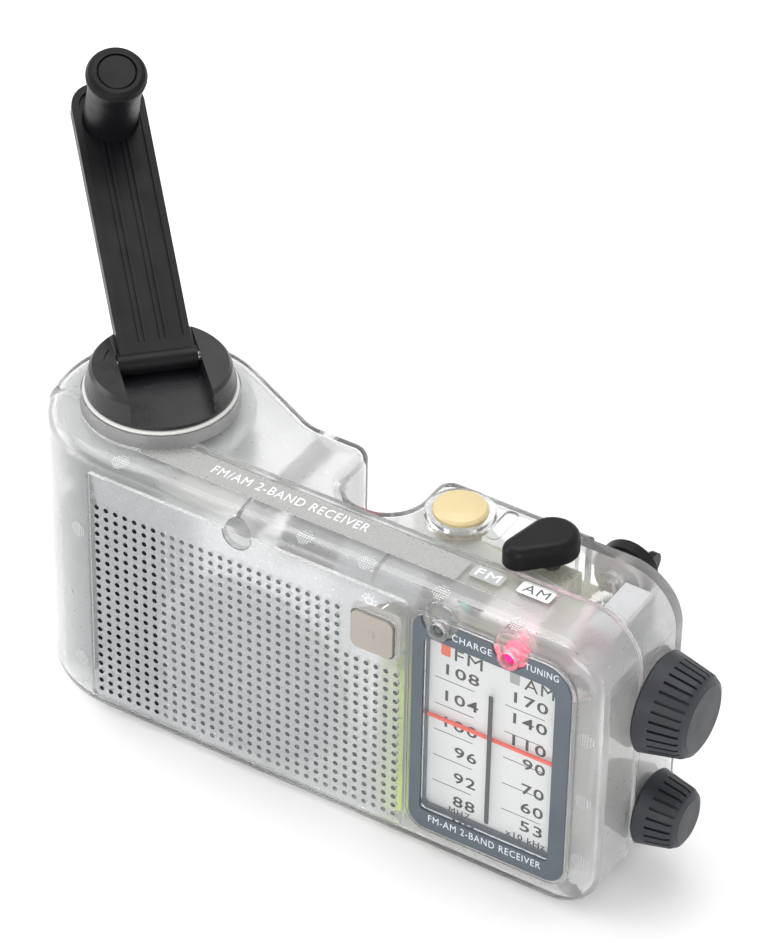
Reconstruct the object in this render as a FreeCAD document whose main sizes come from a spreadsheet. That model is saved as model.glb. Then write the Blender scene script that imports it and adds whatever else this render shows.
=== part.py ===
"""Emergency radio: clear case, hand-crank dynamo, dial with a cord-driven pointer.

Frame: +Z up, the front faces -Y, +X to the right. The origin is on the surface the radio
stands on, under the middle of the case's length and of its straight part's depth. Each
sub-part is drawn with y counted from the crank's axis, and node() moves it into the frame.
"""
import FreeCAD, Part
import math
import os
from FreeCAD import Placement, Rotation, Vector

doc = FreeCAD.newDocument("EmergencyRadio")
sheet = doc.addObject("Spreadsheet::Sheet", "Sizes")

DRIVING = [
    ("body_end", 88.0, "half the length of the case"),
    ("body_height", 84.0, "height of the case"),
    ("front_depth", 29.0, "front face, ahead of the crank axis"),
    ("rear_depth", 14.0, "rear face of the right part, behind the crank axis"),
    ("wall", 2.2, "case wall"),
    ("edge_round", 4.0, "rounding along the case's outer edges"),
    ("seam_depth", 10.0, "seam between the shells, ahead of the crank axis"),
    ("hub_offset", 59.0, "crank axis, left of the origin"),
    ("end_radius", 29.0, "round left end of the case"),
    ("boss_radius", 20.5, "raised boss under the crank"),
    ("boss_top", 87.9, "top of that boss"),
    ("spindle_radius", 4.0, "crank spindle"),
    ("hub_radius", 19.4, "crank hub at its base"),
    ("hub_height", 6.7, "crank hub"),
    ("slot_width", 21.4, "slot in the hub for the arm"),
    ("arm_length", 70.0, "crank hinge to grip axis"),
    ("arm_width", 18.9, "crank arm at the hinge"),
    ("arm_thickness", 4.4, "crank arm"),
    ("grip_radius", 8.0, "grip at its outer end"),
    ("grip_length", 22.0, "grip"),
    ("notch_x", 6.8, "channel in the rear where the stowed grip hangs"),
    ("notch_y", 3.0, "centre of the channel's round bottom"),
    ("notch_radius", 10.2, "channel"),
    ("hole_pitch", 2.88, "grille holes, both ways"),
    ("hole_radius", 0.72, "grille hole"),
    ("speaker_radius", 28.5, "speaker frame"),
    ("tuning_radius", 13.5, "tuning knob at its base"),
    ("tuning_length", 13.6, "tuning knob"),
    ("volume_radius", 10.1, "volume knob at its base"),
    ("volume_length", 11.6, "volume knob"),
    ("knob_y", -3.5, "both knob axes"),
    ("tuning_z", 55.0, "tuning axis height"),
    ("volume_z", 20.4, "volume axis height"),
    ("drum_radius", 5.0, "cord's centre line on the drum"),
    ("pulley_radius", 3.0, "cord's centre line on the pulleys"),
    ("pointer_z", 45.0, "pointer height as it stands"),
    ("cell_radius", 7.05, "round battery cell"),
    ("cell_length", 50.4, "round battery cell"),
    ("gap", 0.1, "gap between pieces that are fixed together"),
    ("running", 0.06, "radial clearance of a shaft in its bearing"),
]
SIZE = {}
for row, (alias, value, meaning) in enumerate(DRIVING, start=1):
    sheet.set("A%d" % row, meaning)
    sheet.set("B%d" % row, str(value))
    sheet.setAlias("B%d" % row, alias)
    SIZE[alias] = value
doc.recompute()

ALONG = {
    "z": Rotation(),
    "x": Rotation(Vector(0, 1, 0), 90),
    "y": Rotation(Vector(1, 0, 0), -90),
    "-x": Rotation(Vector(0, 1, 0), -90),
}
NODES = []


def bind(obj, field, value):
    """Set a property, or bind it to the sheet where the value is an expression."""
    if isinstance(value, str):
        obj.setExpression(field, value)
    else:
        setattr(obj, field, value)


def place(obj, at, rotation=None):
    """Put an object at a point; a coordinate may be an expression."""
    numbers = [0.0 if isinstance(c, str) else c for c in at]
    obj.Placement = Placement(Vector(*numbers), rotation or Rotation())
    for axis, coordinate in zip("xyz", at):
        if isinstance(coordinate, str):
            obj.setExpression("Placement.Base." + axis, coordinate)
    return obj


def cylinder(name, radius, length, at, along="z"):
    obj = doc.addObject("Part::Cylinder", name)
    bind(obj, "Radius", radius)
    bind(obj, "Height", length)
    return place(obj, at, ALONG[along])


def cone(name, radius1, radius2, length, at, along="z"):
    obj = doc.addObject("Part::Cone", name)
    bind(obj, "Radius1", radius1)
    bind(obj, "Radius2", radius2)
    bind(obj, "Height", length)
    return place(obj, at, ALONG[along])


def torus(name, ring, thread, at, along="x", start=0.0, sweep=360.0):
    """A ring, or a part of one, around an axis; start and sweep turn about that axis."""
    obj = doc.addObject("Part::Torus", name)
    bind(obj, "Radius1", ring)
    bind(obj, "Radius2", thread)
    obj.Angle3 = sweep
    return place(obj, at, ALONG[along].multiply(Rotation(Vector(0, 0, 1), start)))


def sphere(name, radius, at):
    obj = doc.addObject("Part::Sphere", name)
    bind(obj, "Radius", radius)
    return place(obj, at)


def block(name, length, width, height, at, rotation=None):
    obj = doc.addObject("Part::Box", name)
    bind(obj, "Length", length)
    bind(obj, "Width", width)
    bind(obj, "Height", height)
    return place(obj, at, rotation)


def span(name, low, high):
    """A block between two opposite corners."""
    sides = [b - a for a, b in zip(low, high)]
    return block(name, sides[0], sides[1], sides[2], low)


def fuse(name, *pieces):
    obj = doc.addObject("Part::MultiFuse", name)
    obj.Shapes = list(pieces)
    return obj


def common(name, *pieces):
    obj = doc.addObject("Part::MultiCommon", name)
    obj.Shapes = list(pieces)
    return obj


def cut(name, base, *tools):
    obj = doc.addObject("Part::Cut", name)
    obj.Base = base
    obj.Tool = tools[0] if len(tools) == 1 else fuse(name + "_tools", *tools)
    return obj


def tube(name, outer, inner, length, at, along="z"):
    """A ring; its bore is longer than the ring so that it goes right through."""
    return cut(name, cylinder(name + "_outside", outer, length, at, along),
               cylinder(name + "_bore", inner, length, at, along))


def body_of(name, geometry, plane, at=(0, 0, 0), rotation=None):
    """A PartDesign body with one sketch on one of its origin planes."""
    body = doc.addObject("PartDesign::Body", name)
    place(body, at, rotation)
    sketch = body.newObject("Sketcher::SketchObject", name + "_sketch")
    support = [f for f in body.Origin.OriginFeatures if f.Role == plane][0]
    sketch.AttachmentSupport = [(support, "")]
    sketch.MapMode = "FlatFace"
    sketch.addGeometry(geometry, False)
    sketch.Visibility = False
    return body, sketch


def pad(name, geometry, length, plane="XY_Plane", at=(0, 0, 0), rotation=None):
    """An outline pushed out along its plane's normal (XZ: toward -Y, YZ: toward +X)."""
    body, sketch = body_of(name, geometry, plane, at, rotation)
    feature = body.newObject("PartDesign::Pad", name + "_pad")
    feature.Profile = sketch
    bind(feature, "Length", length)
    body.Tip = feature
    return body


def turned(name, profile, at=(0, 0, 0), rotation=None):
    """A profile of (radius, height) points turned about the body's own Z axis."""
    geometry = polygon(profile)
    body, sketch = body_of(name, geometry, "XZ_Plane", at, rotation)
    feature = body.newObject("PartDesign::Revolution", name + "_turn")
    feature.Profile = sketch
    feature.ReferenceAxis = (sketch, ["V_Axis"])
    feature.Angle = 360.0
    body.Tip = feature
    return body


def polygon(points):
    corners = [Vector(p[0], p[1], 0) for p in points]
    return [Part.LineSegment(a, b) for a, b in zip(corners, corners[1:] + corners[:1])]


def arc(centre, radius, start, end):
    """A counter-clockwise arc between two angles in degrees."""
    circle = Part.Circle(Vector(centre[0], centre[1], 0), Vector(0, 0, 1), radius)
    return Part.ArcOfCircle(circle, math.radians(start), math.radians(end))


def line(a, b):
    return Part.LineSegment(Vector(a[0], a[1], 0), Vector(b[0], b[1], 0))


def rounded(x0, y0, x1, y1, radii):
    """A rectangle with round corners: lower left, lower right, upper right, upper left."""
    r = list(radii) if isinstance(radii, (list, tuple)) else [radii] * 4
    return [
        line((x0 + r[0], y0), (x1 - r[1], y0)),
        arc((x1 - r[1], y0 + r[1]), r[1], 270, 360),
        line((x1, y0 + r[1]), (x1, y1 - r[2])),
        arc((x1 - r[2], y1 - r[2]), r[2], 0, 90),
        line((x1 - r[2], y1), (x0 + r[3], y1)),
        arc((x0 + r[3], y1 - r[3]), r[3], 90, 180),
        line((x0, y1 - r[3]), (x0, y0 + r[0])),
        arc((x0 + r[0], y0 + r[0]), r[0], 180, 270),
    ]


def shaped(name, shape):
    """A feature whose shape is worked out here, for forms that repeat or follow a formula."""
    obj = doc.addObject("Part::Feature", name)
    obj.Shape = shape
    return obj


def node(label, obj):
    """Name a finished sub-part and move it from the crank's axis to the case's middle."""
    to_middle = (SIZE["front_depth"] - SIZE["rear_depth"]) / 2.0
    obj.Placement = Placement(Vector(0, to_middle, 0), Rotation()).multiply(obj.Placement)
    obj.Label = label
    NODES.append((label, obj))
    return obj


# ---------------------------------------------------------------- case forms

HUB_X = -SIZE["hub_offset"]
SEAM_Y = -SIZE["seam_depth"]
OBLIQUE = 64.0          # direction that the slanting rear wall faces, in degrees from +X
BLEND = 14.0            # hollow corner between the slanting wall and the rear face
TOP_CORNER = 15.0       # right end of the case, seen from the front
BOTTOM_CORNER = 13.0
NOTCH_LIPS = (5.0, 4.5)  # outer corners of the channel, right and left


def plan_outline(inset):
    """The case seen from above, every wall moved inward by inset."""
    radius = SIZE["end_radius"] - inset
    right = SIZE["body_end"] - inset
    front = -SIZE["front_depth"] + inset
    rear = SIZE["rear_depth"] - inset
    nx = SIZE["notch_x"]
    ny = SIZE["notch_y"]
    nr = SIZE["notch_radius"] + inset
    lip_right = NOTCH_LIPS[0] - inset
    lip_left = NOTCH_LIPS[1] - inset
    facing = math.radians(OBLIQUE)
    tangent = Vector(HUB_X + radius * math.cos(facing), radius * math.sin(facing), 0)
    run = Vector(math.sin(facing), -math.cos(facing), 0)
    corner = tangent + run * ((rear - tangent.y) / run.y)
    blend = BLEND + inset
    reach = blend * math.tan(math.radians(90.0 - OBLIQUE) / 2.0)
    blend_start = corner - run * reach
    blend_end = Vector(corner.x + reach, rear, 0)
    return [
        line((HUB_X, front), (right, front)),
        line((right, front), (right, rear)),
        line((right, rear), (nx + nr + lip_right, rear)),
        arc((nx + nr + lip_right, rear - lip_right), lip_right, 90, 180),
        line((nx + nr, rear - lip_right), (nx + nr, ny)),
        arc((nx, ny), nr, 180, 360),
        line((nx - nr, ny), (nx - nr, rear - lip_left)),
        arc((nx - nr - lip_left, rear - lip_left), lip_left, 0, 90),
        line((nx - nr - lip_left, rear), blend_end),
        arc((blend_end.x, rear + blend), blend, 180.0 + OBLIQUE, 270),
        line(blend_start, tangent),
        arc((HUB_X, 0), radius, OBLIQUE, 270),
    ]


def front_outline(inset):
    """The case seen from the front: only the right end is rounded here."""
    low = inset
    high = SIZE["body_height"] - inset
    right = SIZE["body_end"] - inset
    left = -SIZE["body_end"] - SIZE["wall"]
    top_round = TOP_CORNER - inset
    low_round = BOTTOM_CORNER - inset
    return rounded(left, low, right, high, (0.01, low_round, top_round, 0.01))


def case_form(name, inset, rounding):
    """A solid of the case's outer shape, moved inward by inset, with its edges rounded."""
    above = pad(name + "_plan", plan_outline(inset), SIZE["body_height"])
    depth = 2.0 * SIZE["front_depth"] + 10.0
    ahead = pad(name + "_front", front_outline(inset), depth, "XZ_Plane", (0, depth / 2.0, 0))
    form = common(name + "_sharp", above, ahead)
    doc.recompute()
    right = SIZE["body_end"] - inset
    sharp = []
    for index, edge in enumerate(form.Shape.Edges, start=1):
        middle = edge.valueAt((edge.FirstParameter + edge.LastParameter) / 2.0)
        straight = edge.Curve.TypeId == "Part::GeomLine"
        across = abs(edge.Vertexes[-1].Point.y - edge.Vertexes[0].Point.y)
        rise = abs(edge.Vertexes[-1].Point.z - edge.Vertexes[0].Point.z)
        on_right_end = middle.x > right - TOP_CORNER - 1.0
        if straight and rise > 1.0 and middle.x < right - 0.5:
            continue
        if straight and on_right_end and across > 1.0 and rise < 0.01:
            continue
        sharp.append((index, rounding, rounding))
    soft = doc.addObject("Part::Fillet", name)
    soft.Base = form
    soft.Edges = sharp
    return soft


WALL = SIZE["wall"]
TOP = SIZE["body_height"]
FRONT = -SIZE["front_depth"]
REAR = SIZE["rear_depth"]
FAR = 200.0
outer_form = case_form("outer_form", 0.0, SIZE["edge_round"])
inner_form = case_form("inner_form", WALL, SIZE["edge_round"] - WALL)
bead_form = case_form("bead_form", -0.35, SIZE["edge_round"])

# Recess in the rear right corner, where the aerial's swivel sits.
RECESS_LEFT = 60.5
RECESS_LOW = 58.0
RECESS_FACE = 10.5
recess = span("recess", (RECESS_LEFT, RECESS_FACE, RECESS_LOW), (FAR, FAR, FAR))
recess_lining = span("recess_lining", (RECESS_LEFT - WALL, RECESS_FACE - WALL, RECESS_LOW - WALL),
                     (FAR, FAR, FAR))
case_outside = cut("case_outside", outer_form, recess)
case_inside = cut("case_inside", inner_form, recess_lining)
case_wall = cut("case_wall", case_outside, case_inside)

front_half = span("front_half", (-FAR, -FAR, -FAR), (FAR, SEAM_Y - 0.15, FAR))
rear_half = span("rear_half", (-FAR, SEAM_Y, -FAR), (FAR, FAR, FAR))
front_bead_slab = span("front_bead_slab", (-FAR, SEAM_Y - 1.15, -FAR), (FAR, SEAM_Y - 0.15, FAR))
rear_bead_slab = span("rear_bead_slab", (-FAR, SEAM_Y, -FAR), (FAR, SEAM_Y + 1.0, FAR))
bead_band = cut("bead_band", bead_form, inner_form)

# ---------------------------------------------------------------- front shell

PANEL = (-62.6, 4.4, 32.4, 78.0)              # grille panel: left, bottom, right, top
BEZEL_OUT = (35.1, 8.8, 79.8, 77.5)
BEZEL_HOLE = (36.6, 10.4, 78.4, 75.9)
DIAL_WINDOW = (38.2, 14.5, 75.4, 71.2)
LAMPS = ((42.0, 74.6), (62.0, 74.7))
COLLAR_RADIUS = 5.0
COLLAR_RISE = 2.7                             # centre of a collar above its lamp
LENS_RADIUS = 3.0
LAMP_HOLE = 1.9
RIM_WIDTH = 1.1
SCREW_BOSS = (-17.3, 77.2)
BOSS_RADIUS = 4.0
SCREWS = (SCREW_BOSS, (-44.5, 6.0), (80.4, 7.2))
SCREW_BOSS_RADIUS = 3.0
CORNER_BOSS = (79.0, 72.0)
RIBS_X = (-18.0, 22.0)
LEDGE = (-52.0, -21.0, 66.0, -12.2)           # lettered strip on top: left, front, right, back
LEDGE_SINK = 0.4


def upright(name, box, y_back, thickness, radii):
    """A flat plate standing in the XZ plane, its back at y_back."""
    return pad(name, rounded(box[0], box[1], box[2], box[3], radii), thickness, "XZ_Plane",
               (0, y_back, 0))


def grown(box, margin):
    """A left, bottom, right, top box made larger on every side."""
    return (box[0] - margin, box[1] - margin, box[2] + margin, box[3] + margin)


def lamp_collars(name, clearance, y_wide, y_narrow, y_back):
    """A wide boss above each lamp and a narrow ring around the lamp itself."""
    made = []
    for i, (x, z) in enumerate(LAMPS):
        made.append(cylinder("%s_wide%d" % (name, i), COLLAR_RADIUS + clearance, y_back - y_wide,
                             (x + 0.4, y_wide, z + COLLAR_RISE), "y"))
        made.append(cylinder("%s_ring%d" % (name, i), LENS_RADIUS + clearance, y_back - y_narrow,
                             (x, y_narrow, z), "y"))
    return made


def front_shell():
    half = common("front_wall", case_wall, front_half)
    bead = common("front_bead", bead_band, front_bead_slab)
    collars = lamp_collars("collar", 0.0, FRONT - 0.6, FRONT - 1.6, FRONT + 3.6)
    boss = cylinder("screw_boss", BOSS_RADIUS, 16.5, (SCREW_BOSS[0], FRONT + 0.3, SCREW_BOSS[1]), "y")
    corner = cylinder("corner_boss", 4.2, 10.0, (CORNER_BOSS[0], FRONT + 1.0, CORNER_BOSS[1]), "y")
    bosses = [cylinder("boss%d" % i, SCREW_BOSS_RADIUS, 17.5, (x, FRONT + 1.0, z), "y")
              for i, (x, z) in enumerate(SCREWS[1:])]
    ribs = [span("rib%d" % i, (x - 0.6, FRONT + 1.0, TOP - 5.0), (x + 0.6, SEAM_Y - 1.0, TOP - 1.0))
            for i, x in enumerate(RIBS_X)]
    solid = fuse("front_solid", half, bead, boss, corner, *(bosses + ribs))
    openings = [
        upright("panel_opening", PANEL, FRONT + 6.0, 10.0, 1.5),
        upright("bezel_opening", BEZEL_HOLE, FRONT + 6.0, 10.0, (3.5, 3.5, 7.0, 3.5)),
        cylinder("boss_bay", "Sizes.boss_radius + 0.3", 20.0, (HUB_X, 0, TOP - 4.0)),
        span("ledge_sink", (LEDGE[0], LEDGE[1], TOP - LEDGE_SINK), (LEDGE[2], LEDGE[3], TOP + 5.0)),
    ]
    opened = cut("front_opened", solid, *openings)
    boss_again = cylinder("screw_boss_front", BOSS_RADIUS, 3.0,
                          (SCREW_BOSS[0], FRONT + 0.3, SCREW_BOSS[1]), "y")
    rim = cut("bezel_rim", upright("bezel_rim_outside", grown(BEZEL_OUT, 0.1 + RIM_WIDTH), FRONT + 0.3, 1.2,
                                   (6.0, 6.0, 9.0, 5.0)),
              upright("bezel_rim_inside", grown(BEZEL_OUT, 0.1), FRONT + 2.0, 6.0, (5.0, 5.0, 8.0, 4.0)))
    filled = fuse("front_filled", opened, boss_again, rim, *collars)
    drills = [cylinder("lamp_hole%d" % i, LAMP_HOLE, 12.0, (x, FRONT - 4.0, z), "y")
              for i, (x, z) in enumerate(LAMPS)]
    drills += [cylinder("pilot%d" % i, 1.1, 14.0, (x, SEAM_Y - 12.0, z), "y")
               for i, (x, z) in enumerate(SCREWS)]
    return node("front_shell", cut("front_shell_body", filled, *drills))


# ---------------------------------------------------------------- rear shell

ANTENNA_X = 69.3
ANTENNA_Z = 74.5
BUTTON = (29.8, 0.5)
LEVER = (55.6, 1.4)
LEVER_STEM = 2.2
JACK_HEIGHTS = (24.0, 38.0)
JACK_RADIUS = 3.2
DOOR = (23.7, -4.8, 74.1, 9.2)                # battery door: left, front, right, back
DOOR_PIVOT = (8.3, 1.15)
DOOR_PIN = 0.6


def rear_shell():
    half = common("rear_wall", case_wall, rear_half)
    bead = common("rear_bead", bead_band, rear_bead_slab)
    boss = cylinder("hub_boss", "Sizes.boss_radius", "Sizes.boss_top - Sizes.body_height + Sizes.wall",
                    ("-Sizes.hub_offset", 0, "Sizes.body_height - Sizes.wall"))
    posts = [cylinder("rear_post%d" % i, SCREW_BOSS_RADIUS, FAR, (x, SEAM_Y + 0.5, z), "y")
             for i, (x, z) in enumerate(SCREWS)]
    inside_posts = common("rear_posts", fuse("rear_post_set", *posts), case_outside)
    solid = fuse("rear_solid", half, bead, boss, inside_posts)
    drills = [
        cylinder("spindle_bore", "Sizes.spindle_radius + Sizes.running", 20.0,
                 ("-Sizes.hub_offset", 0, TOP - 10.0)),
        cylinder("tuning_bore", 2.0 + SIZE["running"], 10.0, (80.0, "Sizes.knob_y", "Sizes.tuning_z"), "x"),
        cylinder("volume_bore", 3.1 + SIZE["running"], 10.0, (80.0, "Sizes.knob_y", "Sizes.volume_z"), "x"),
        cylinder("button_bore", 2.6, 10.0, (BUTTON[0], BUTTON[1], TOP - 6.0)),
        cylinder("lever_bore", LEVER_STEM + 0.35, 10.0, (LEVER[0], LEVER[1], TOP - 6.0)),
        cylinder("antenna_bore", 2.1, 12.0, (ANTENNA_X, RECESS_FACE - 8.0, ANTENNA_Z), "y"),
        span("door_opening", (DOOR[0] - 0.3, DOOR[1] - 0.3, -5.0), (DOOR[2] + 0.3, DOOR[3] + 0.3, 8.0)),
        cylinder("door_pin_bore", DOOR_PIN + SIZE["running"], DOOR[2] - DOOR[0] + 3.2,
                 (DOOR[0] - 1.6, DOOR_PIVOT[0], DOOR_PIVOT[1]), "x"),
        pad("finger_recess", rounded(38.2, -2.6, 42.0, 9.6, 1.8), 4.0, at=(0, 0, TOP - 0.8)),
    ]
    drills += [cylinder("jack_bore%d" % i, JACK_RADIUS + 0.1, 10.0, (-90.0, 0, z), "x")
               for i, z in enumerate(JACK_HEIGHTS)]
    drills += [cylinder("screw_way%d" % i, 1.4, FAR, (x, SEAM_Y - 1.0, z), "y")
               for i, (x, z) in enumerate(SCREWS)]
    drills += [cylinder("screw_sink%d" % i, 2.6, FAR, (x, y, z), "y")
               for i, ((x, z), y) in enumerate(zip(SCREWS, SCREW_HEAD_Y))]
    return node("rear_shell", cut("rear_shell_body", solid, *drills))


SCREW_HEAD_Y = (9.0, 18.0, 9.0)               # bottom of each screw's counterbore


def screws():
    """One self-tapping screw up each boss from the rear."""
    made = []
    for i, ((x, z), y) in enumerate(zip(SCREWS, SCREW_HEAD_Y)):
        shank_start = SEAM_Y - 8.0
        shank = cylinder("shank%d" % i, 1.0, y + 0.5 - shank_start, (x, shank_start, z), "y")
        head = cylinder("head%d" % i, 2.3, 1.6, (x, y + 0.1, z), "y")
        cross = fuse("cross%d" % i,
                     span("cross_a%d" % i, (x - 1.3, y + 1.0, z - 0.3), (x + 1.3, y + 3.0, z + 0.3)),
                     span("cross_b%d" % i, (x - 0.3, y + 1.0, z - 1.3), (x + 0.3, y + 3.0, z + 1.3)))
        made.append(cut("screw%d" % i, fuse("screw_blank%d" % i, shank, head), cross))
    node("case_screws", fuse("case_screws_body", *made))


# ---------------------------------------------------------------- grille

HOLE_COLUMNS = 32
HOLE_ROWS = 22
FIRST_HOLE = (-59.6, 67.9)
KEY = (16.8, 58.2, 28.8, 69.6)                # tan key: left, bottom, right, top
PANEL_FACE = 0.2                              # panel sits this far inside the front face
PANEL_THICKNESS = 1.8


def grille_panel():
    back = FRONT + PANEL_FACE + PANEL_THICKNESS
    inner = (PANEL[0] + SIZE["gap"], PANEL[1] + SIZE["gap"], PANEL[2] - SIZE["gap"], PANEL[3] - SIZE["gap"])
    plate = upright("panel_plate", inner, back, PANEL_THICKNESS, 1.4)
    pitch = SIZE["hole_pitch"]
    holes = []
    for column in range(HOLE_COLUMNS):
        for row in range(HOLE_ROWS):
            x = FIRST_HOLE[0] + column * pitch
            z = FIRST_HOLE[1] - row * pitch
            beside_key = x > KEY[0] - 2.2 and z > KEY[1] - 2.2
            if not beside_key:
                holes.append(Part.makeCylinder(SIZE["hole_radius"], 6.0, Vector(x, back - 4.0, z),
                                               Vector(0, 1, 0)))
    hole_grid = shaped("hole_grid", Part.makeCompound(holes))
    bite = cylinder("panel_bite", BOSS_RADIUS + 0.3, 8.0, (SCREW_BOSS[0], FRONT - 2.0, SCREW_BOSS[1]), "y")
    key_hole = upright("key_hole", grown(KEY, 0.4), FRONT + 8.0, 12.0, 2.0)
    drilled = cut("panel_drilled", plate, hole_grid)
    return node("grille_panel", cut("grille_panel_body", drilled, bite, key_hole))


# ---------------------------------------------------------------- dial

CARD_BACK = -25.5
CARD_THICKNESS = 0.5
CARD_RIGHT = 76.0
POINTER_STEM = (76.3, 77.1)                   # where the pointer goes past the card's edge
POINTER_POCKET = (75.0, 77.6)
POINTER_LOW = 17.3
POINTER_HIGH = 59.7
GUIDES_X = (51.9, 61.9)
GUIDE_Y = -21.4
GUIDE_RADIUS = 0.8
CORD_FRONT_Y = -18.4
PULLEYS_Z = (72.0, 8.5)
CORD = 0.35
DRUM_X = 55.4
DRUM_WIDTH = 3.0


def dial():
    flange = upright("bezel_flange", BEZEL_OUT, FRONT - 0.05, 1.2, (5.0, 5.0, 8.0, 4.0))
    hole = BEZEL_HOLE
    gap = SIZE["gap"]
    tub = upright("bezel_tub", (hole[0] + gap, hole[1] + gap, hole[2] - gap, hole[3] - gap),
                  FRONT + 2.6, 3.0, (3.4, 3.4, 6.9, 3.4))
    window_hole = upright("bezel_window", DIAL_WINDOW, FRONT + 9.0, 20.0, (1.5, 1.5, 3.5, 2.0))
    bites = lamp_collars("bezel_bite", 0.15, FRONT - 5.0, FRONT - 5.0, FRONT + 7.0)
    pocket = span("bezel_pocket", (POINTER_POCKET[0], -28.3, POINTER_LOW - 2.0),
                  (POINTER_POCKET[1], -25.0, POINTER_HIGH + 2.0))
    node("dial_bezel", cut("bezel", fuse("bezel_blank", flange, tub), window_hole, pocket, *bites))
    window = DIAL_WINDOW
    pane = (window[0] + gap, window[1] + gap, window[2] - gap, window[3] - gap)
    glass = upright("window_pane", pane, FRONT + 0.4, 0.9, (1.4, 1.4, 3.4, 1.9))
    node("dial_window", glass)
    card = upright("card_sheet", (hole[0] + 0.6, hole[1] + 0.6, CARD_RIGHT, 73.0), CARD_BACK,
                   CARD_THICKNESS, 1.0)
    card_bites = lamp_collars("card_bite", 0.15, FRONT - 1.0, FRONT - 1.0, FRONT + 8.0)
    node("dial_card", cut("card", card, *card_bites))


def pointer():
    z = SIZE["pointer_z"]
    bar = span("pointer_bar", (DIAL_WINDOW[0] + 0.6, -27.9, z - 0.45), (POINTER_STEM[1], -27.3, z + 0.45))
    body = span("carriage_block", (GUIDES_X[0] - 1.9, -23.6, z - 3.0), (GUIDES_X[1] + 1.9, -19.2, z + 3.0))
    stem = span("carriage_stem", (POINTER_STEM[0], -27.9, z - 0.8), (POINTER_STEM[1], -22.2, z + 0.8))
    side = span("carriage_arm", (GUIDES_X[1], -23.2, z - 1.2), (POINTER_STEM[1], -22.2, z + 1.2))
    bores = [cylinder("guide_bore%d" % i, GUIDE_RADIUS + SIZE["running"], 20.0, (x, GUIDE_Y, z - 10.0))
             for i, x in enumerate(GUIDES_X)]
    node("pointer", cut("pointer_body", fuse("pointer_blank", bar, body, stem, side), *bores))


def cord_frame():
    """Two guide rods between two brackets, which also hold the cord's pulleys."""
    pulley_y = CORD_FRONT_Y + SIZE["pulley_radius"]
    low = span("low_bracket", (49.5, -24.4, 2.9), (64.3, -12.0, 4.4))
    high = span("high_bracket", (49.5, -22.6, 76.4), (64.3, -12.0, 77.9))
    cheeks = []
    for i, (z0, z1) in enumerate(((70.0, 76.6), (4.2, 10.6))):
        for k, x in enumerate((DRUM_X - 1.6, DRUM_X + DRUM_WIDTH + 0.4)):
            cheeks.append(span("cheek%d%d" % (i, k), (x, pulley_y - 1.8, z0), (x + 1.2, pulley_y + 3.2, z1)))
    axles = [cylinder("pulley_axle%d" % i, 1.0, DRUM_WIDTH + 3.0, (DRUM_X - 1.5, pulley_y, z), "x")
             for i, z in enumerate(PULLEYS_Z)]
    guides = [cylinder("guide%d" % i, GUIDE_RADIUS, 72.6, (x, GUIDE_Y, 4.1)) for i, x in enumerate(GUIDES_X)]
    node("cord_frame", fuse("cord_frame_body", low, high, *(cheeks + axles + guides)))
    for name, z in zip(("top", "bottom"), PULLEYS_Z):
        groove = SIZE["pulley_radius"] - CORD - 0.3
        rim = SIZE["pulley_radius"] + 0.8
        wide = DRUM_WIDTH
        bore = 1.0 + SIZE["running"]
        profile = [(bore, 0), (rim, 0), (rim, 0.5), (groove, 0.8), (groove, wide - 0.8), (rim, wide - 0.5),
                   (rim, wide), (bore, wide)]
        node("cord_pulley_" + name, turned(name + "_pulley", profile, (DRUM_X, pulley_y, z), ALONG["x"]))


def dial_cord():
    """The cord: down the front, round the lower pulley, a turn on the drum, over the upper one."""
    x = DRUM_X + DRUM_WIDTH / 2.0
    pulley_y = CORD_FRONT_Y + SIZE["pulley_radius"]
    rear_y = pulley_y + SIZE["pulley_radius"]
    drum_front = SIZE["knob_y"] - SIZE["drum_radius"]
    front_run = cylinder("front_run", CORD, PULLEYS_Z[0] - PULLEYS_Z[1], (x, CORD_FRONT_Y, PULLEYS_Z[1]))
    runs = [front_run]
    for i, z in enumerate(PULLEYS_Z):
        start = Vector(x, rear_y, z)
        end = Vector(x, drum_front, SIZE["tuning_z"])
        run = doc.addObject("Part::Cylinder", "back_run%d" % i)
        run.Radius = CORD
        run.Height = (end - start).Length
        run.Placement = Placement(start, Rotation(Vector(0, 0, 1), end - start))
        runs.append(run)
    turns = [
        torus("over_top", "Sizes.pulley_radius", CORD, (x, pulley_y, PULLEYS_Z[0]), "x", 90.0, 180.0),
        torus("under_low", "Sizes.pulley_radius", CORD, (x, pulley_y, PULLEYS_Z[1]), "x", -90.0, 180.0),
        torus("drum_turn", "Sizes.drum_radius", CORD, (x, "Sizes.knob_y", "Sizes.tuning_z")),
    ]
    node("dial_cord", fuse("dial_cord_body", *(runs + turns)))


# ---------------------------------------------------------------- gears


def involute(base, angle):
    """A point of the involute of a circle of radius base."""
    return Vector(base * (math.cos(angle) + angle * math.sin(angle)),
                  base * (math.sin(angle) - angle * math.cos(angle)), 0)


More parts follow.
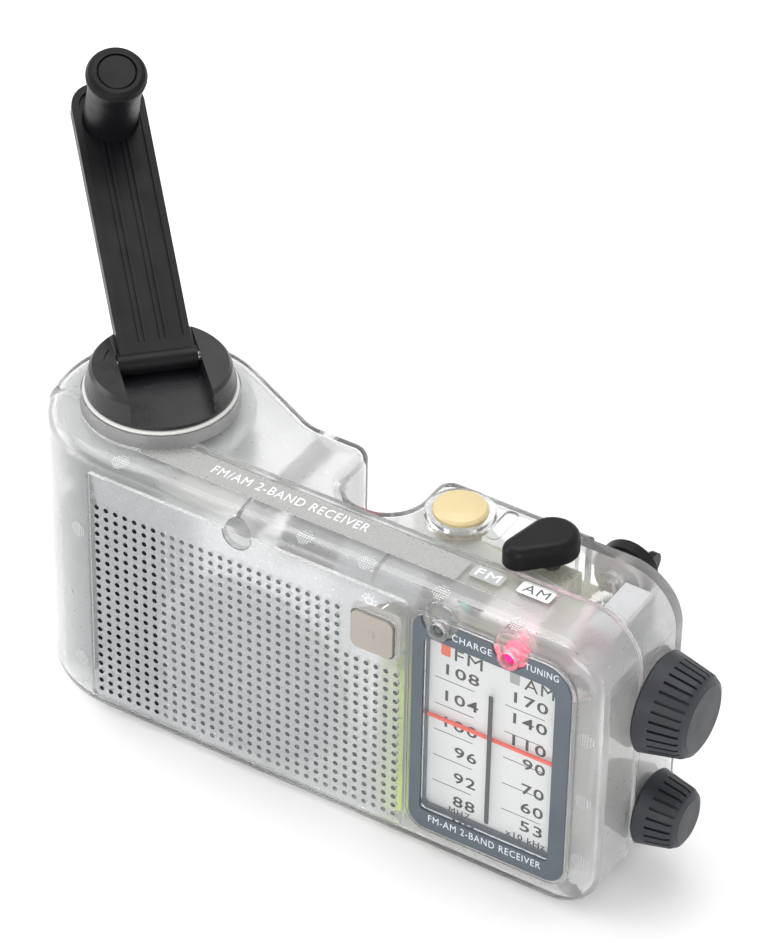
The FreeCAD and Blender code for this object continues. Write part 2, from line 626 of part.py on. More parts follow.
def gear_blank(teeth, module, width, tooth_at):
    """A spur gear along +Z, 20 degree pressure angle, with one tooth centred at tooth_at degrees."""
    pitch = teeth * module / 2.0
    tip = pitch + module
    root = pitch - 1.25 * module
    base = pitch * math.cos(math.radians(20.0))
    at_pitch = math.sqrt((pitch / base) ** 2 - 1.0)
    at_tip = math.sqrt((tip / base) ** 2 - 1.0)
    first = math.sqrt(max((root / base) ** 2 - 1.0, 0.0))
    swing = at_pitch - math.atan(at_pitch)
    half_tooth = math.pi / (2.0 * teeth) - 0.06 * module / pitch
    steps = 5
    flank = [involute(base, first + (at_tip - first) * i / steps) for i in range(steps + 1)]
    edges = []
    first_point = None
    last_point = None
    for tooth in range(teeth):
        centre = math.radians(tooth_at) + 2.0 * math.pi * tooth / teeth
        right = [turn(p, centre - half_tooth - swing) for p in flank]
        left = [turn(Vector(p.x, -p.y, 0), centre + half_tooth + swing) for p in reversed(flank)]
        right_root = Vector(root * math.cos(math.atan2(right[0].y, right[0].x)),
                            root * math.sin(math.atan2(right[0].y, right[0].x)), 0)
        left_root = Vector(root * math.cos(math.atan2(left[-1].y, left[-1].x)),
                           root * math.sin(math.atan2(left[-1].y, left[-1].x)), 0)
        points = [right_root] + right + left + [left_root]
        if (right_root - right[0]).Length < 1e-4:
            points = right + left
        if last_point is not None:
            edges.append(Part.LineSegment(last_point, points[0]).toShape())
        else:
            first_point = points[0]
        edges += [Part.LineSegment(a, b).toShape() for a, b in zip(points, points[1:])]
        last_point = points[-1]
    edges.append(Part.LineSegment(last_point, first_point).toShape())
    return Part.Face(Part.Wire(edges)).extrude(Vector(0, 0, width))


def turn(point, angle):
    return Vector(point.x * math.cos(angle) - point.y * math.sin(angle),
                  point.x * math.sin(angle) + point.y * math.cos(angle), 0)


def gear(name, teeth, module, width, tooth_at, at, along="z"):
    return place(shaped(name, gear_blank(teeth, module, width, tooth_at)), at, ALONG[along])


# ---------------------------------------------------------------- tuning and volume

GRIP_BAND = (0.32, 0.90)                      # grooved part of each side knob, in shares of its length
KNOB_START = SIZE["body_end"] + 0.9
SHAFT_RADIUS = 2.0
CAP_Z = 68.0
CAP_MODULE = 0.5
CAP_PINION = 14
CAP_GEAR = 38
CAP_GEAR_X = 69.4


def side_knob(name, base, tip, length, grooves, shaft, axis_z):
    """A tapered knob on the right end, with grooves sunk in a band around it."""
    profile = [(0, 0), (base - 0.8, 0), (base, 0.8), (tip + 0.25, length - 2.2), (tip - 0.7, length - 0.7),
               (tip - 2.2, length), (0, length)]
    form = turned(name + "_form", profile)
    start = GRIP_BAND[0] * length
    stop = GRIP_BAND[1] * length
    rib = 0.75
    tools = []
    taper = math.degrees(math.atan((base - tip) / length))
    floor = base - (base - tip) * GRIP_BAND[0] - 1.0
    for i in range(grooves):
        slab = Part.makeBox(4.0, rib, stop - start, Vector(floor, -rib / 2.0, start))
        slab.rotate(Vector(floor, 0, start), Vector(0, 1, 0), -taper)
        slab.rotate(Vector(0, 0, 0), Vector(0, 0, 1), 360.0 * i / grooves)
        tools.append(slab)
    cuts = shaped(name + "_grooves", Part.makeCompound(tools))
    bore = cylinder(name + "_socket", shaft + 0.02, length * 0.6, (0, 0, -0.01))
    knob = cut(name, form, cuts, bore)
    return place(knob, (KNOB_START, SIZE["knob_y"], axis_z), ALONG["x"])


def tuning():
    z = SIZE["tuning_z"]
    node("tuning_knob", side_knob("tuning_grip", SIZE["tuning_radius"], 11.0, SIZE["tuning_length"], 30,
                                  SHAFT_RADIUS, z))
    axis = ("Sizes.knob_y", "Sizes.tuning_z")
    shaft = cylinder("tuning_rod", SHAFT_RADIUS, KNOB_START + 7.0 - 54.4, (54.4,) + axis, "x")
    groove = SIZE["drum_radius"] - CORD - 0.35
    rim = SIZE["drum_radius"] + 1.2
    wide = DRUM_WIDTH
    drum = turned("cord_drum", [(0, 0), (rim, 0), (rim, 0.6), (groove, 0.9), (groove, wide - 0.9),
                                (rim, wide - 0.6), (rim, wide), (0, wide)],
                  (DRUM_X, "Sizes.knob_y", "Sizes.tuning_z"), ALONG["x"])
    pinion = gear("tuning_pinion", CAP_PINION, CAP_MODULE, 3.2, 0.0, (69.0,) + axis, "x")
    node("tuning_shaft", fuse("tuning_shaft_body", shaft, drum, pinion))
    # The rotated frame's +X axis points down, so the pinion's mesh direction is at 180 degrees.
    half_gap = 180.0 / CAP_GEAR
    centre = (CAP_GEAR_X, "Sizes.knob_y", CAP_Z)
    wheel = gear("tuner_wheel", CAP_GEAR, CAP_MODULE, 2.2, half_gap, centre, "x")
    stub = cylinder("tuner_stub", 1.5, 8.0, centre, "x")
    node("capacitor_gear", fuse("capacitor_gear_body", wheel, stub))
    case = span("tuner_case", (73.4, -13.4, 58.2), (81.3, 6.4, 77.8))
    bore = cylinder("tuner_bore", 1.5 + SIZE["running"], 5.0, (73.0, "Sizes.knob_y", CAP_Z), "x")
    node("tuning_capacitor", cut("tuning_capacitor_body", case, bore))


def volume():
    z = SIZE["volume_z"]
    grip = side_knob("volume_grip", SIZE["volume_radius"], 8.0, SIZE["volume_length"], 22, 3.0, z)
    rod = cylinder("volume_rod", 3.1, KNOB_START + 7.2 - 80.0, (80.0, "Sizes.knob_y", z), "x")
    node("volume_knob", fuse("volume_knob_body", grip, rod))
    can = cylinder("volume_can", 7.8, 7.2, (77.3, "Sizes.knob_y", z), "x")
    tail = cylinder("volume_tail", 5.0, 0.8, (76.6, "Sizes.knob_y", z), "x")
    bore = cylinder("volume_can_bore", 3.1 + SIZE["running"], 8.0, (79.7, "Sizes.knob_y", z), "x")
    node("volume_control", cut("volume_control_body", fuse("volume_blank", can, tail), bore))


# ---------------------------------------------------------------- top and front controls

LEVER_REST = -118.0                           # direction of the lever's finger
LEVER_REACH = 9.8
LEVER_BOTTOM = TOP + 0.75
LEVER_HEIGHT = 5.8


def lever_outline():
    """A round boss and a smaller round tip, joined by two tangent lines."""
    big = 6.8
    small = 4.1
    lean = math.degrees(math.acos((big - small) / LEVER_REACH))
    direction = math.radians(LEVER_REST)
    tip = (LEVER_REACH * math.cos(direction), LEVER_REACH * math.sin(direction))

    def on(centre, radius, degrees):
        return (centre[0] + radius * math.cos(math.radians(degrees)),
                centre[1] + radius * math.sin(math.radians(degrees)))

    low = LEVER_REST - lean
    high = LEVER_REST + lean
    return [
        arc((0, 0), big, high, low + 360.0),
        line(on((0, 0), big, low), on(tip, small, low)),
        arc(tip, small, low, high),
        line(on(tip, small, high), on((0, 0), big, high)),
    ]


def controls():
    lever = pad("lever_form", lever_outline(), LEVER_HEIGHT, at=(LEVER[0], LEVER[1], LEVER_BOTTOM))
    doc.recompute()
    crown = doc.addObject("Part::Fillet", "lever_crown")
    crown.Base = lever
    top = LEVER_BOTTOM + LEVER_HEIGHT
    crown.Edges = [(i, 2.4, 2.4) for i, edge in enumerate(lever.Shape.Edges, start=1)
                   if all(abs(v.Z - top) < 1e-4 for v in edge.Vertexes)]
    stem = cylinder("lever_stem", LEVER_STEM, 7.2, (LEVER[0], LEVER[1], LEVER_BOTTOM - 6.4))
    node("band_lever", fuse("band_lever_body", crown, stem))

    x, y = BUTTON
    cap_low = TOP + 1.8
    profile = [(0, 0), (7.0, 0), (7.0, 1.1), (6.4, 1.7), (3.5, 2.0), (0, 2.1)]
    cap = turned("button_cap", profile, (x, y, cap_low))
    post = cylinder("button_post", 2.0, 6.4, (x, y, cap_low - 6.2))
    node("top_button", fuse("top_button_body", cap, post))
    node("button_collar", turned("button_ring", [(7.35, 0), (9.2, 0), (9.2, 1.6), (8.6, 2.3), (7.35, 2.3)],
                                 (x, y, TOP + 0.02)))

    face = upright("key_face", KEY, FRONT + 2.4, 2.8, 2.0)
    flange = upright("key_flange", grown(KEY, 1.2), FRONT + 3.2, 0.8, 2.0)
    middle = ((KEY[0] + KEY[2]) / 2.0, (KEY[1] + KEY[3]) / 2.0)
    nub = sphere("key_nub", 1.1, (middle[0], FRONT + 0.1, middle[1]))
    node("front_key", fuse("front_key_body", face, flange, nub))

    for name, (lx, lz) in zip(("charge", "tuning"), LAMPS):
        dome = sphere(name + "_dome", 1.75, (lx, FRONT + 0.4, lz))
        barrel = cylinder(name + "_barrel", 1.75, 3.7, (lx, FRONT + 0.4, lz), "y")
        rim = cylinder(name + "_rim", 2.9, 1.0, (lx, FRONT + 3.65, lz), "y")
        node(name + "_lamp", fuse(name + "_lamp_body", dome, barrel, rim))


# ---------------------------------------------------------------- electronics and speaker

SPEAKER = (-14.0, 32.7)


def speaker():
    x, z = SPEAKER
    radius = SIZE["speaker_radius"]
    back = Rotation(Vector(1, 0, 0), -90)
    basket = [(radius, 0), (radius, 1.4), (26.6, 1.6), (13.6, 10.2), (13.6, 11.0), (6.0, 11.0), (6.0, 10.0),
              (12.4, 10.0), (25.4, 1.2), (25.4, 0)]
    frame = turned("speaker_frame", basket, (x, -26.5, z), back)
    magnet = turned("speaker_magnet", [(0, 0), (12.8, 0), (13.2, 0.4), (13.2, 4.0), (12.8, 4.4), (0, 4.4)],
                    (x, -15.6, z), back)
    node("speaker_basket", fuse("speaker_basket_body", frame, magnet))
    cone_profile = [(25.2, 0.6), (25.2, 1.1), (23.2, 1.0), (8.0, 8.6), (6.0, 7.4), (0, 5.4), (0, 4.8),
                    (6.4, 6.6), (22.4, 0.5), (24.0, 0.1)]
    node("speaker_cone", turned("speaker_paper", cone_profile, (x, -26.5, z), back))


def electronics():
    board = span("board", (20.6, -12.0, 5.0), (48.9, -10.4, 67.4))
    chips = [span("chip%d" % i, (x, -13.6, z), (x + w, -12.0, z + h)) for i, (x, z, w, h) in enumerate(
        ((35.5, 20.0, 9.0, 7.0), (35.0, 40.0, 5.0, 5.0), (42.0, 52.0, 5.0, 7.0), (36.0, 60.0, 4.0, 6.0)))]
    cans = [cylinder("board_can%d" % i, r, 7.0, (x, -19.0, z), "y") for i, (x, z, r) in enumerate(
        ((45.0, 12.0, 2.5), (38.5, 12.0, 3.1), (44.5, 34.0, 3.1)))]
    middle = ((KEY[0] + KEY[2]) / 2.0, (KEY[1] + KEY[3]) / 2.0)
    key_switch = span("key_switch", (middle[0] - 3.0, -24.0, middle[1] - 3.0),
                      (middle[0] + 3.0, -11.5, middle[1] + 3.0))
    key_tip = cylinder("key_switch_tip", 1.6, 1.0, (middle[0], -24.5, middle[1]), "y")
    node("main_board", fuse("main_board_body", board, key_switch, key_tip, *(chips + cans)))
    plate = span("top_board_plate", (20.6, -9.4, 69.8), (66.0, 8.0, 71.4))
    band_switch = span("band_switch", (50.0, -5.5, 71.0), (63.0, 3.5, 78.0))
    x, y = BUTTON
    button_switch = span("button_switch", (x - 4.0, y - 4.0, 71.0), (x + 4.0, y + 4.0, 77.8))
    node("top_board", fuse("top_board_body", plate, band_switch, button_switch))
    node("lamp_board", span("lamp_board_body", (38.0, -24.3, 71.2), (66.0, -23.3, 76.2)))
    node("ferrite_rod", cylinder("ferrite", 4.4, 56.0, (-9.0, -17.0, 73.2), "x"))
    node("ferrite_coil", tube("coil", 5.3, 4.5, 24.0, (8.0, -17.0, 73.2), "x"))
    pack = [cylinder("pack_cell%d" % i, 5.7, 15.2, (27.2, -20.0, 6.0 + 16.0 * i)) for i in range(3)]
    necks = [cylinder("pack_neck%d" % i, 5.2, 1.2, (27.2, -20.0, 20.9 + 16.0 * i)) for i in range(2)]
    node("rechargeable_pack", fuse("rechargeable_pack_body", *(pack + necks)))
    for name, z in zip(("earphone", "charging"), JACK_HEIGHTS):
        nose = cylinder(name + "_nose", JACK_RADIUS, 6.0, (-88.0, 0, z), "x")
        box = span(name + "_box", (-84.5, -4.5, z - 4.5), (-73.0, 4.5, z + 4.5))
        way = cylinder(name + "_way", 1.78 if name == "earphone" else 2.1, 12.0, (-89.0, 0, z), "x")
        node(name + "_jack", cut(name + "_jack_body", fuse(name + "_jack_blank", nose, box), way))


# ---------------------------------------------------------------- batteries

TRAY_LEFT = 21.6
TRAY_RIGHT = 76.2
TRAY_WALL = 1.1
CELL_Y = 2.2
CELLS_Z = (10.3, 24.6, 38.9)
CELL_START = 23.6


def batteries():
    outer = span("tray_outer", (TRAY_LEFT, -6.2, 3.0), (TRAY_RIGHT, 10.6, 47.7))
    inner = span("tray_inner", (TRAY_LEFT + TRAY_WALL, -5.1, 0.0), (TRAY_RIGHT - TRAY_WALL, 9.5, 46.6))
    bearing = span("shaft_bearing", (61.4, -7.5, 47.0), (62.8, 0.5, 59.0))
    bearing_bore = cylinder("shaft_bearing_bore", SHAFT_RADIUS + SIZE["running"], 6.0,
                            (59.0, "Sizes.knob_y", "Sizes.tuning_z"), "x")
    node("battery_tray", cut("tray", fuse("tray_blank", outer, bearing), inner, bearing_bore))
    for i, z in enumerate(CELLS_Z):
        turned_end = i % 2 == 1
        start = CELL_START
        can = cylinder("cell_can%d" % i, "Sizes.cell_radius", "Sizes.cell_length - 1.2",
                       (start + (1.2 if turned_end else 0.0), CELL_Y, z), "x")
        tip_x = start if turned_end else start + SIZE["cell_length"] - 1.3
        tip = cylinder("cell_tip%d" % i, 2.7, 1.3, (tip_x, CELL_Y, z), "x")
        node("battery_cell_%d" % (i + 1), fuse("cell%d" % i, can, tip))
    strips = []
    for side, x in (("left", TRAY_LEFT + TRAY_WALL + 0.05), ("right", TRAY_RIGHT - TRAY_WALL - 0.35)):
        for i, z in enumerate(CELLS_Z):
            low = (x, CELL_Y - 4.5, z - 5.5)
            strips.append(span("%s_plate%d" % (side, i), low, (x + 0.3, CELL_Y + 4.5, z + 5.5)))
    node("battery_contacts", fuse("battery_contacts_body", *strips))
    left, front, right, back = DOOR
    plate = span("door_plate", (left, front, 0.2), (right, DOOR_PIVOT[0], 2.1))
    bead = cylinder("door_bead", 0.95, right - left, (left,) + DOOR_PIVOT, "x")
    pins = cylinder("door_pins", DOOR_PIN, right - left + 2.4, (left - 1.2,) + DOOR_PIVOT, "x")
    grip = span("door_grip", (45.0, front + 1.0, 0.0), (53.0, front + 3.0, 0.7))
    node("battery_door", cut("door", fuse("door_blank", plate, bead, pins), grip))


# ---------------------------------------------------------------- dynamo

DRIVE_TEETH = 48
IDLER_PINION_TEETH = 14
DRIVE_MODULE = 0.7
IDLER_TEETH = 44
ROTOR_TEETH = 12
ROTOR_MODULE = 0.5
IDLER_BEARING = -25.0                         # direction of the idler seen from the crank axis
ROTOR_BEARING = 190.0                         # direction of the rotor seen from the idler
PLATE_RADIUS = 24.4


def polar(origin, distance, degrees):
    return (origin[0] + distance * math.cos(math.radians(degrees)),
            origin[1] + distance * math.sin(math.radians(degrees)))


HUB = (HUB_X, 0.0)
IDLER = polar(HUB, (DRIVE_TEETH + IDLER_PINION_TEETH) * DRIVE_MODULE / 2.0, IDLER_BEARING)
ROTOR = polar(IDLER, (IDLER_TEETH + ROTOR_TEETH) * ROTOR_MODULE / 2.0, ROTOR_BEARING)
PILLARS = [polar(HUB, 21.6, bearing) for bearing in (65.0, 150.0, 235.0)]


def dynamo():
    spindle_low = 72.9
    base = ("-Sizes.hub_offset", 0)
    spindle = cylinder("spindle", "Sizes.spindle_radius", "Sizes.boss_top + 0.9 - %s" % spindle_low,
                       base + (spindle_low,))
    tenon = cylinder("spindle_tenon", 3.0, 1.1, base + ("Sizes.boss_top + 0.5",))
    node("crank_spindle", fuse("crank_spindle_body", spindle, tenon))
    wheel = gear("drive_wheel", DRIVE_TEETH, DRIVE_MODULE, 3.0, IDLER_BEARING, (HUB_X, 0, 74.6))
    holes = [cylinder("drive_hole%d" % i, 3.6, 6.0, polar(HUB, 10.2, 60.0 * i + 10.0) + (73.0,))
             for i in range(6)]
    bore = cylinder("drive_bore", "Sizes.spindle_radius + 0.02", 8.0, base + (72.0,))
    node("drive_gear", cut("drive_gear_body", wheel, bore, *holes))
    half = 180.0 / IDLER_PINION_TEETH
    small = gear("idler_pinion", IDLER_PINION_TEETH, DRIVE_MODULE, 6.0, IDLER_BEARING + 180.0 + half,
                 IDLER + (72.6,))
    large = gear("idler_wheel", IDLER_TEETH, ROTOR_MODULE, 2.4, ROTOR_BEARING, IDLER + (70.2,))
    idler_bore = cylinder("idler_bore", 1.2 + SIZE["running"], 12.0, IDLER + (68.0,))
    node("idler_gear", cut("idler_gear_body", fuse("idler_blank", small, large), idler_bore))
    half = 180.0 / ROTOR_TEETH
    pinion = gear("rotor_pinion_form", ROTOR_TEETH, ROTOR_MODULE, 3.4, ROTOR_BEARING + 180.0 + half,
                  ROTOR + (69.7,))
    rod = cylinder("rotor_rod", 1.0, 14.0, ROTOR + (58.0,))
    drum = cylinder("rotor_drum", 8.6, 20.0, ROTOR + (40.0,))
    node("dynamo_rotor", fuse("dynamo_rotor_body", pinion, rod, drum))
    top = cut("plate_top", cylinder("plate_top_disc", PLATE_RADIUS, 1.3, (HUB_X, 0, 79.2)),
              cylinder("plate_top_bore", "Sizes.spindle_radius + Sizes.running", 4.0, base + (78.0,)))
    node("gearbox_top_plate", top)
    rotor_way = cylinder("rotor_way", 1.0 + SIZE["running"], 8.0, ROTOR + (63.0,))
    disc = cylinder("plate_low_disc", PLATE_RADIUS, 1.5, (HUB_X, 0, 66.6))
    posts = [cylinder("pillar%d" % i, 1.9, 12.1, p + (67.0,)) for i, p in enumerate(PILLARS)]
    axle = cylinder("idler_axle", 1.2, 12.1, IDLER + (67.0,))
    node("gearbox_bottom_plate", cut("plate_low", fuse("plate_low_blank", disc, axle, *posts), rotor_way))
    shell = cylinder("dynamo_shell", 11.5, 56.0, ROTOR + (10.5,))
    room = cylinder("dynamo_room", 9.4, 25.0, ROTOR + (37.5,))
    way = cylinder("dynamo_shell_way", 1.0 + SIZE["running"], 12.0, ROTOR + (60.0,))
    node("dynamo_housing", cut("dynamo_housing_body", shell, room, way))


# ---------------------------------------------------------------- crank

SLOT_BEARING = -45.0                          # direction that the hub's slot opens
ARM_RISE = 28.0                               # angle of the unfolded arm above the deck
HINGE_BACK = 4.6
HINGE_RISE = 4.0                              # hinge axis above the hub's underside
HUB_BASE = SIZE["boss_top"] + 1.0
HUB_TURN = Rotation(Vector(0, 0, 1), SLOT_BEARING)
ARM_TURN = Rotation(Vector(0, 0, 1), SLOT_BEARING + 180.0).multiply(Rotation(Vector(0, 1, 0), -ARM_RISE))
HINGE = Vector(HUB_X, 0, HUB_BASE + HINGE_RISE) + HUB_TURN.multVec(Vector(-HINGE_BACK, 0, 0))
PIN_RADIUS = 1.5
BARREL_RADIUS = 2.9


def crank_hub():
    """A low drum with a slot for the folded arm and a ramp behind the hinge."""
    foot = SIZE["hub_radius"]
    height = SIZE["hub_height"]
    crown = foot - 1.2
    form = turned("hub_form", [(0, 0), (foot, 0), (foot, 1.0), (crown + 0.1, height - 1.0),
                               (crown - 0.7, height), (0, height)])
    width = SIZE["slot_width"]
    slot = block("hub_slot", 60.0, width, 20.0, (-HINGE_BACK - BARREL_RADIUS - 0.6, -width / 2.0, 0.98))
    ramp = block("hub_ramp", 40.0, width, 30.0, (0, 0, 0))
    under_arm = Vector(0, -width / 2.0, -SIZE["arm_thickness"] / 2.0 - 0.35)
    lean = Rotation(Vector(0, 0, 1), 180.0).multiply(Rotation(Vector(0, 1, 0), -ARM_RISE))
    ramp.Placement = Placement(Vector(-HINGE_BACK, 0, HINGE_RISE) + lean.multVec(under_arm), lean)
    pin_bore = cylinder("hub_pin_bore", PIN_RADIUS + 0.05, 32.4, (-HINGE_BACK, 0, HINGE_RISE))
    pin_bore.Placement = Placement(Vector(-HINGE_BACK, -16.2, HINGE_RISE), ALONG["y"])
    socket = cylinder("hub_socket", 3.05, 0.85, (0, 0, -0.2))
    arrow = tube("hub_arrow", 14.6, 14.1, 1.0, (0, 0, height - 0.4))
    keep = span("hub_arrow_keep", (-20.0, -20.0, height - 1.0), (-4.0, -width / 2.0 - 1.0, height + 1.0))
    arrow_part = common("hub_arrow_part", arrow, keep)
    hub = cut("hub", form, slot, ramp, pin_bore, socket, arrow_part)
    place(hub, (HUB_X, 0, HUB_BASE), HUB_TURN)
    node("crank_hub", hub)
    pin = cylinder("pin_rod", PIN_RADIUS, 32.0, (0, 0, 0))
    pin.Placement = Placement(HINGE + HUB_TURN.multVec(Vector(0, -16.0, 0)), HUB_TURN.multiply(ALONG["y"]))
    node("crank_hinge_pin", pin)
    on_boss = (HUB_X, 0, SIZE["boss_top"] + 0.02)
    node("crank_washer", tube("washer", 20.0, SIZE["spindle_radius"] + 0.3, 0.7, on_boss))


def crank_arm():
    """The arm lies along its own +X from the hinge; the grip stands on its +Z face."""
    reach = SIZE["arm_length"]
    half = SIZE["arm_width"] / 2.0
    wide = half + 0.2
    end = reach + 10.4
    corner = 6.5
    thick = SIZE["arm_thickness"]
    outline = [
        line((1.0, -half), (end - corner, -wide)),
        arc((end - corner, -wide + corner), corner, 270, 360),
        line((end, -wide + corner), (end, wide - corner)),
        arc((end - corner, wide - corner), corner, 0, 90),
        line((end - corner, wide), (1.0, half)),
        line((1.0, half), (1.0, -half)),
    ]
    slab = pad("arm_slab", outline, thick, at=(0, 0, -thick / 2.0))
    sink = pad("arm_sink", rounded(5.0, -half + 1.7, end - 1.7, half - 1.7, (0.8, 5.0, 5.0, 0.8)), 4.0,
               at=(0, 0, thick / 2.0 - 0.9))
    ribs = [span("arm_rib%d" % i, (4.5, y - 0.4, 0.0), (reach - 5.5, y + 0.4, thick / 2.0 - 0.25))
            for i, y in enumerate((-3.5, -2.0, 2.0, 3.5))]
    barrel = cylinder("arm_barrel", BARREL_RADIUS, 20.6, (0, -10.3, 0), "y")
    collar = cone("arm_collar", 7.5, 6.8, 2.9, (reach, 0, thick / 2.0 - 1.1))
    solid = fuse("arm_solid", cut("arm_sunk", slab, sink), barrel, collar, *ribs)
    bore = cylinder("arm_bore", PIN_RADIUS + SIZE["running"], 30.0, (0, -15.0, 0), "y")
    axle_bore = cylinder("arm_axle_bore", 2.02, 12.0, (reach, 0, -6.0))
    arm = cut("arm", solid, bore, axle_bore)
    arm.Placement = Placement(HINGE, ARM_TURN)
    node("crank_arm", arm)


def on_arm(obj, height):
    """Stand a piece on the arm, on the grip's axis, at a height above the arm's middle."""
    obj.Placement = Placement(HINGE + ARM_TURN.multVec(Vector(SIZE["arm_length"], 0, height)), ARM_TURN)
    return obj


def crank_grip():
    start = SIZE["arm_thickness"] / 2.0 + 2.15
    length = SIZE["grip_length"]
    radius = SIZE["grip_radius"]
    recess_depth = 1.3
    profile = [(0, 0), (7.0, 0), (7.2, 0.6), (7.15, 4.0), (7.0, length * 0.45), (7.2, length * 0.66),
               (radius - 0.2, length * 0.82), (radius, length * 0.88), (radius, length - 1.8),
               (radius - 0.6, length - 0.6),
               (radius - 1.7, length), (5.25, length), (5.25, length - recess_depth),
               (0, length - recess_depth)]
    form = turned("grip_form", profile)
    bore = cylinder("grip_bore", 2.0 + SIZE["running"], length - 3.0, (0, 0, -1.0))
    head_room = cylinder("grip_head_room", 3.9, 3.4, (0, 0, length - 6.2))
    grip = cut("grip", form, bore, head_room)
    node("crank_grip", on_arm(grip, start))
    cap = turned("grip_disc", [(0, 0), (5.0, 0), (5.0, 0.9), (4.7, 1.2), (0, 1.2)])
    node("grip_cap", on_arm(cap, start + length - recess_depth + 0.02))
    axle_low = -SIZE["arm_thickness"] / 2.0 - 0.6
    shank = cylinder("axle_shank", 2.0, start + length - 4.2 - axle_low, (0, 0, 0))
    head = cylinder("axle_head", 3.4, 1.2, (0, 0, start + length - 5.5 - axle_low))
    foot = cylinder("axle_foot", 3.6, 0.58, (0, 0, 0))
    node("grip_axle", on_arm(fuse("grip_axle_body", shank, head, foot), axle_low))


# ---------------------------------------------------------------- aerial

ROD_Y = 20.4
ROD_TOP = 70.0
ROD_BOTTOM = 9.0
SECTIONS = ((2.6, 2.2), (2.1, 1.72), (1.62, 1.26), (1.16, 0.0))   # outer and inner radius of each tube


def aerial():
    """A swivel in the recess, a knuckle that turns on it and a rod of four nested sections."""
    x = ANTENNA_X
    z = ANTENNA_Z
    base = cylinder("swivel_disc", 6.2, 2.6, (x, RECESS_FACE + 0.1, z), "y")
    stud = cylinder("swivel_stud", 2.0, 7.8, (x, RECESS_FACE - 5.0, z), "y")
    nut = cylinder("swivel_nut", 3.6, 1.6, (x, RECESS_FACE - WALL - 1.7, z), "y")
    node("aerial_swivel", fuse("aerial_swivel_body", base, stud, nut))
    plate = cylinder("knuckle_disc", 8.0, 3.4, (x, RECESS_FACE + 3.0, z), "y")
    ears = [span("ear%d" % i, (x + s * 3.9 - 0.9, RECESS_FACE + 6.0, z - 3.0),
                 (x + s * 3.9 + 0.9, ROD_Y + 1.0, z + 3.0)) for i, s in enumerate((-1, 1))]
    tips = [cylinder("ear_tip%d" % i, 3.0, 1.8, (x + s * 3.9 - 0.9, ROD_Y + 0.5, z), "x")
            for i, s in enumerate((-1, 1))]
    pin = cylinder("knuckle_pin", 1.0, 9.6, (x - 4.8, ROD_Y + 0.5, z), "x")
    node("aerial_knuckle", fuse("aerial_knuckle_body", plate, pin, *(ears + tips)))
    eye = cylinder("rod_eye", 2.7, 5.2, (x - 2.6, ROD_Y + 0.5, z), "x")
    neck = cylinder("rod_neck", 2.2, 5.0, (x, ROD_Y + 0.5, ROD_TOP - 1.5))
    bore = cylinder("rod_eye_bore", 1.0 + SIZE["running"], 8.0, (x - 4.0, ROD_Y + 0.5, z), "x")
    barrel = cylinder("rod_barrel", SECTIONS[0][0], ROD_TOP - ROD_BOTTOM, (x, ROD_Y + 0.5, ROD_BOTTOM))
    hollow = cylinder("rod_hollow", SECTIONS[0][1], ROD_TOP - ROD_BOTTOM - 3.0,
                      (x, ROD_Y + 0.5, ROD_BOTTOM - 0.1))
    node("aerial_tube_1", cut("aerial_tube_body", fuse("rod_blank", eye, neck, barrel), bore, hollow))
    for i, (outside, inside) in enumerate(SECTIONS[1:], start=2):
        low = ROD_BOTTOM - 0.9 * (i - 1)
        high = ROD_TOP - 4.2 - 1.9 * (i - 2)
        rod = cylinder("section%d" % i, outside, high - low, (x, ROD_Y + 0.5, low))
        if inside:
            rod = cut("section_tube%d" % i, rod,
                      cylinder("section_bore%d" % i, inside, high - low - 1.5, (x, ROD_Y + 0.5, low - 0.1)))
        else:
            knob = cylinder("aerial_knob", 2.6, 2.4, (x, ROD_Y + 0.5, low - 2.3))
            rod = fuse("section_tip", rod, knob)
        node("aerial_tube_%d" % i, rod)


front_shell()
rear_shell()
screws()
grille_panel()
dial()
pointer()
cord_frame()
dial_cord()
tuning()
volume()
controls()
speaker()
electronics()
batteries()
dynamo()
crank_hub()
crank_arm()
crank_grip()
aerial()

doc.recompute()
faults = [o.Name for o in doc.Objects if "Invalid" in o.State or "Error" in o.State]
for label, obj in NODES:
    if obj.Shape.isNull() or not obj.Shape.isValid() or obj.Shape.Volume <= 0:
        faults.append(label)
if faults:
    raise RuntimeError("failed objects: " + ", ".join(faults))

os.makedirs("parts", exist_ok=True)
for label, obj in NODES:
    obj.Shape.exportStep("parts/%s.step" % label)
    box = obj.Shape.BoundBox
    print("%-24s solids %d volume %9.1f  x %7.2f %7.2f  y %7.2f %7.2f  z %7.2f %7.2f" % (
        label, len(obj.Shape.Solids), obj.Shape.Volume, box.XMin, box.XMax, box.YMin, box.YMax,
        box.ZMin, box.ZMax))
print(len(NODES), "nodes")
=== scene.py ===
"""Looks of the clear emergency radio: materials, printing, wiring, light and camera around the CAD frame."""
import math
import bpy
from mathutils import Matrix, Vector
from mathutils.bvhtree import BVHTree


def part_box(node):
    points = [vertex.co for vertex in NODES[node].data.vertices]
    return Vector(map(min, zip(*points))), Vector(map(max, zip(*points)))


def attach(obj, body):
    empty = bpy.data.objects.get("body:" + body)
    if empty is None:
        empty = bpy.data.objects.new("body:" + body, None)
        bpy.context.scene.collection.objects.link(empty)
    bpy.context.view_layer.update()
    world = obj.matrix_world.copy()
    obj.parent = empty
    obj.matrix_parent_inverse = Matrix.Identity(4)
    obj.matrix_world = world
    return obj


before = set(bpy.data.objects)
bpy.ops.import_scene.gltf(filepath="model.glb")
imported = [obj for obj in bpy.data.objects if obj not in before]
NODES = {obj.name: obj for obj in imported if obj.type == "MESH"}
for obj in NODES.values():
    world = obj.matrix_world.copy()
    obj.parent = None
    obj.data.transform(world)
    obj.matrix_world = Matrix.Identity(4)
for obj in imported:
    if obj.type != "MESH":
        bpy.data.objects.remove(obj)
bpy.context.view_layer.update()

MM = 0.001
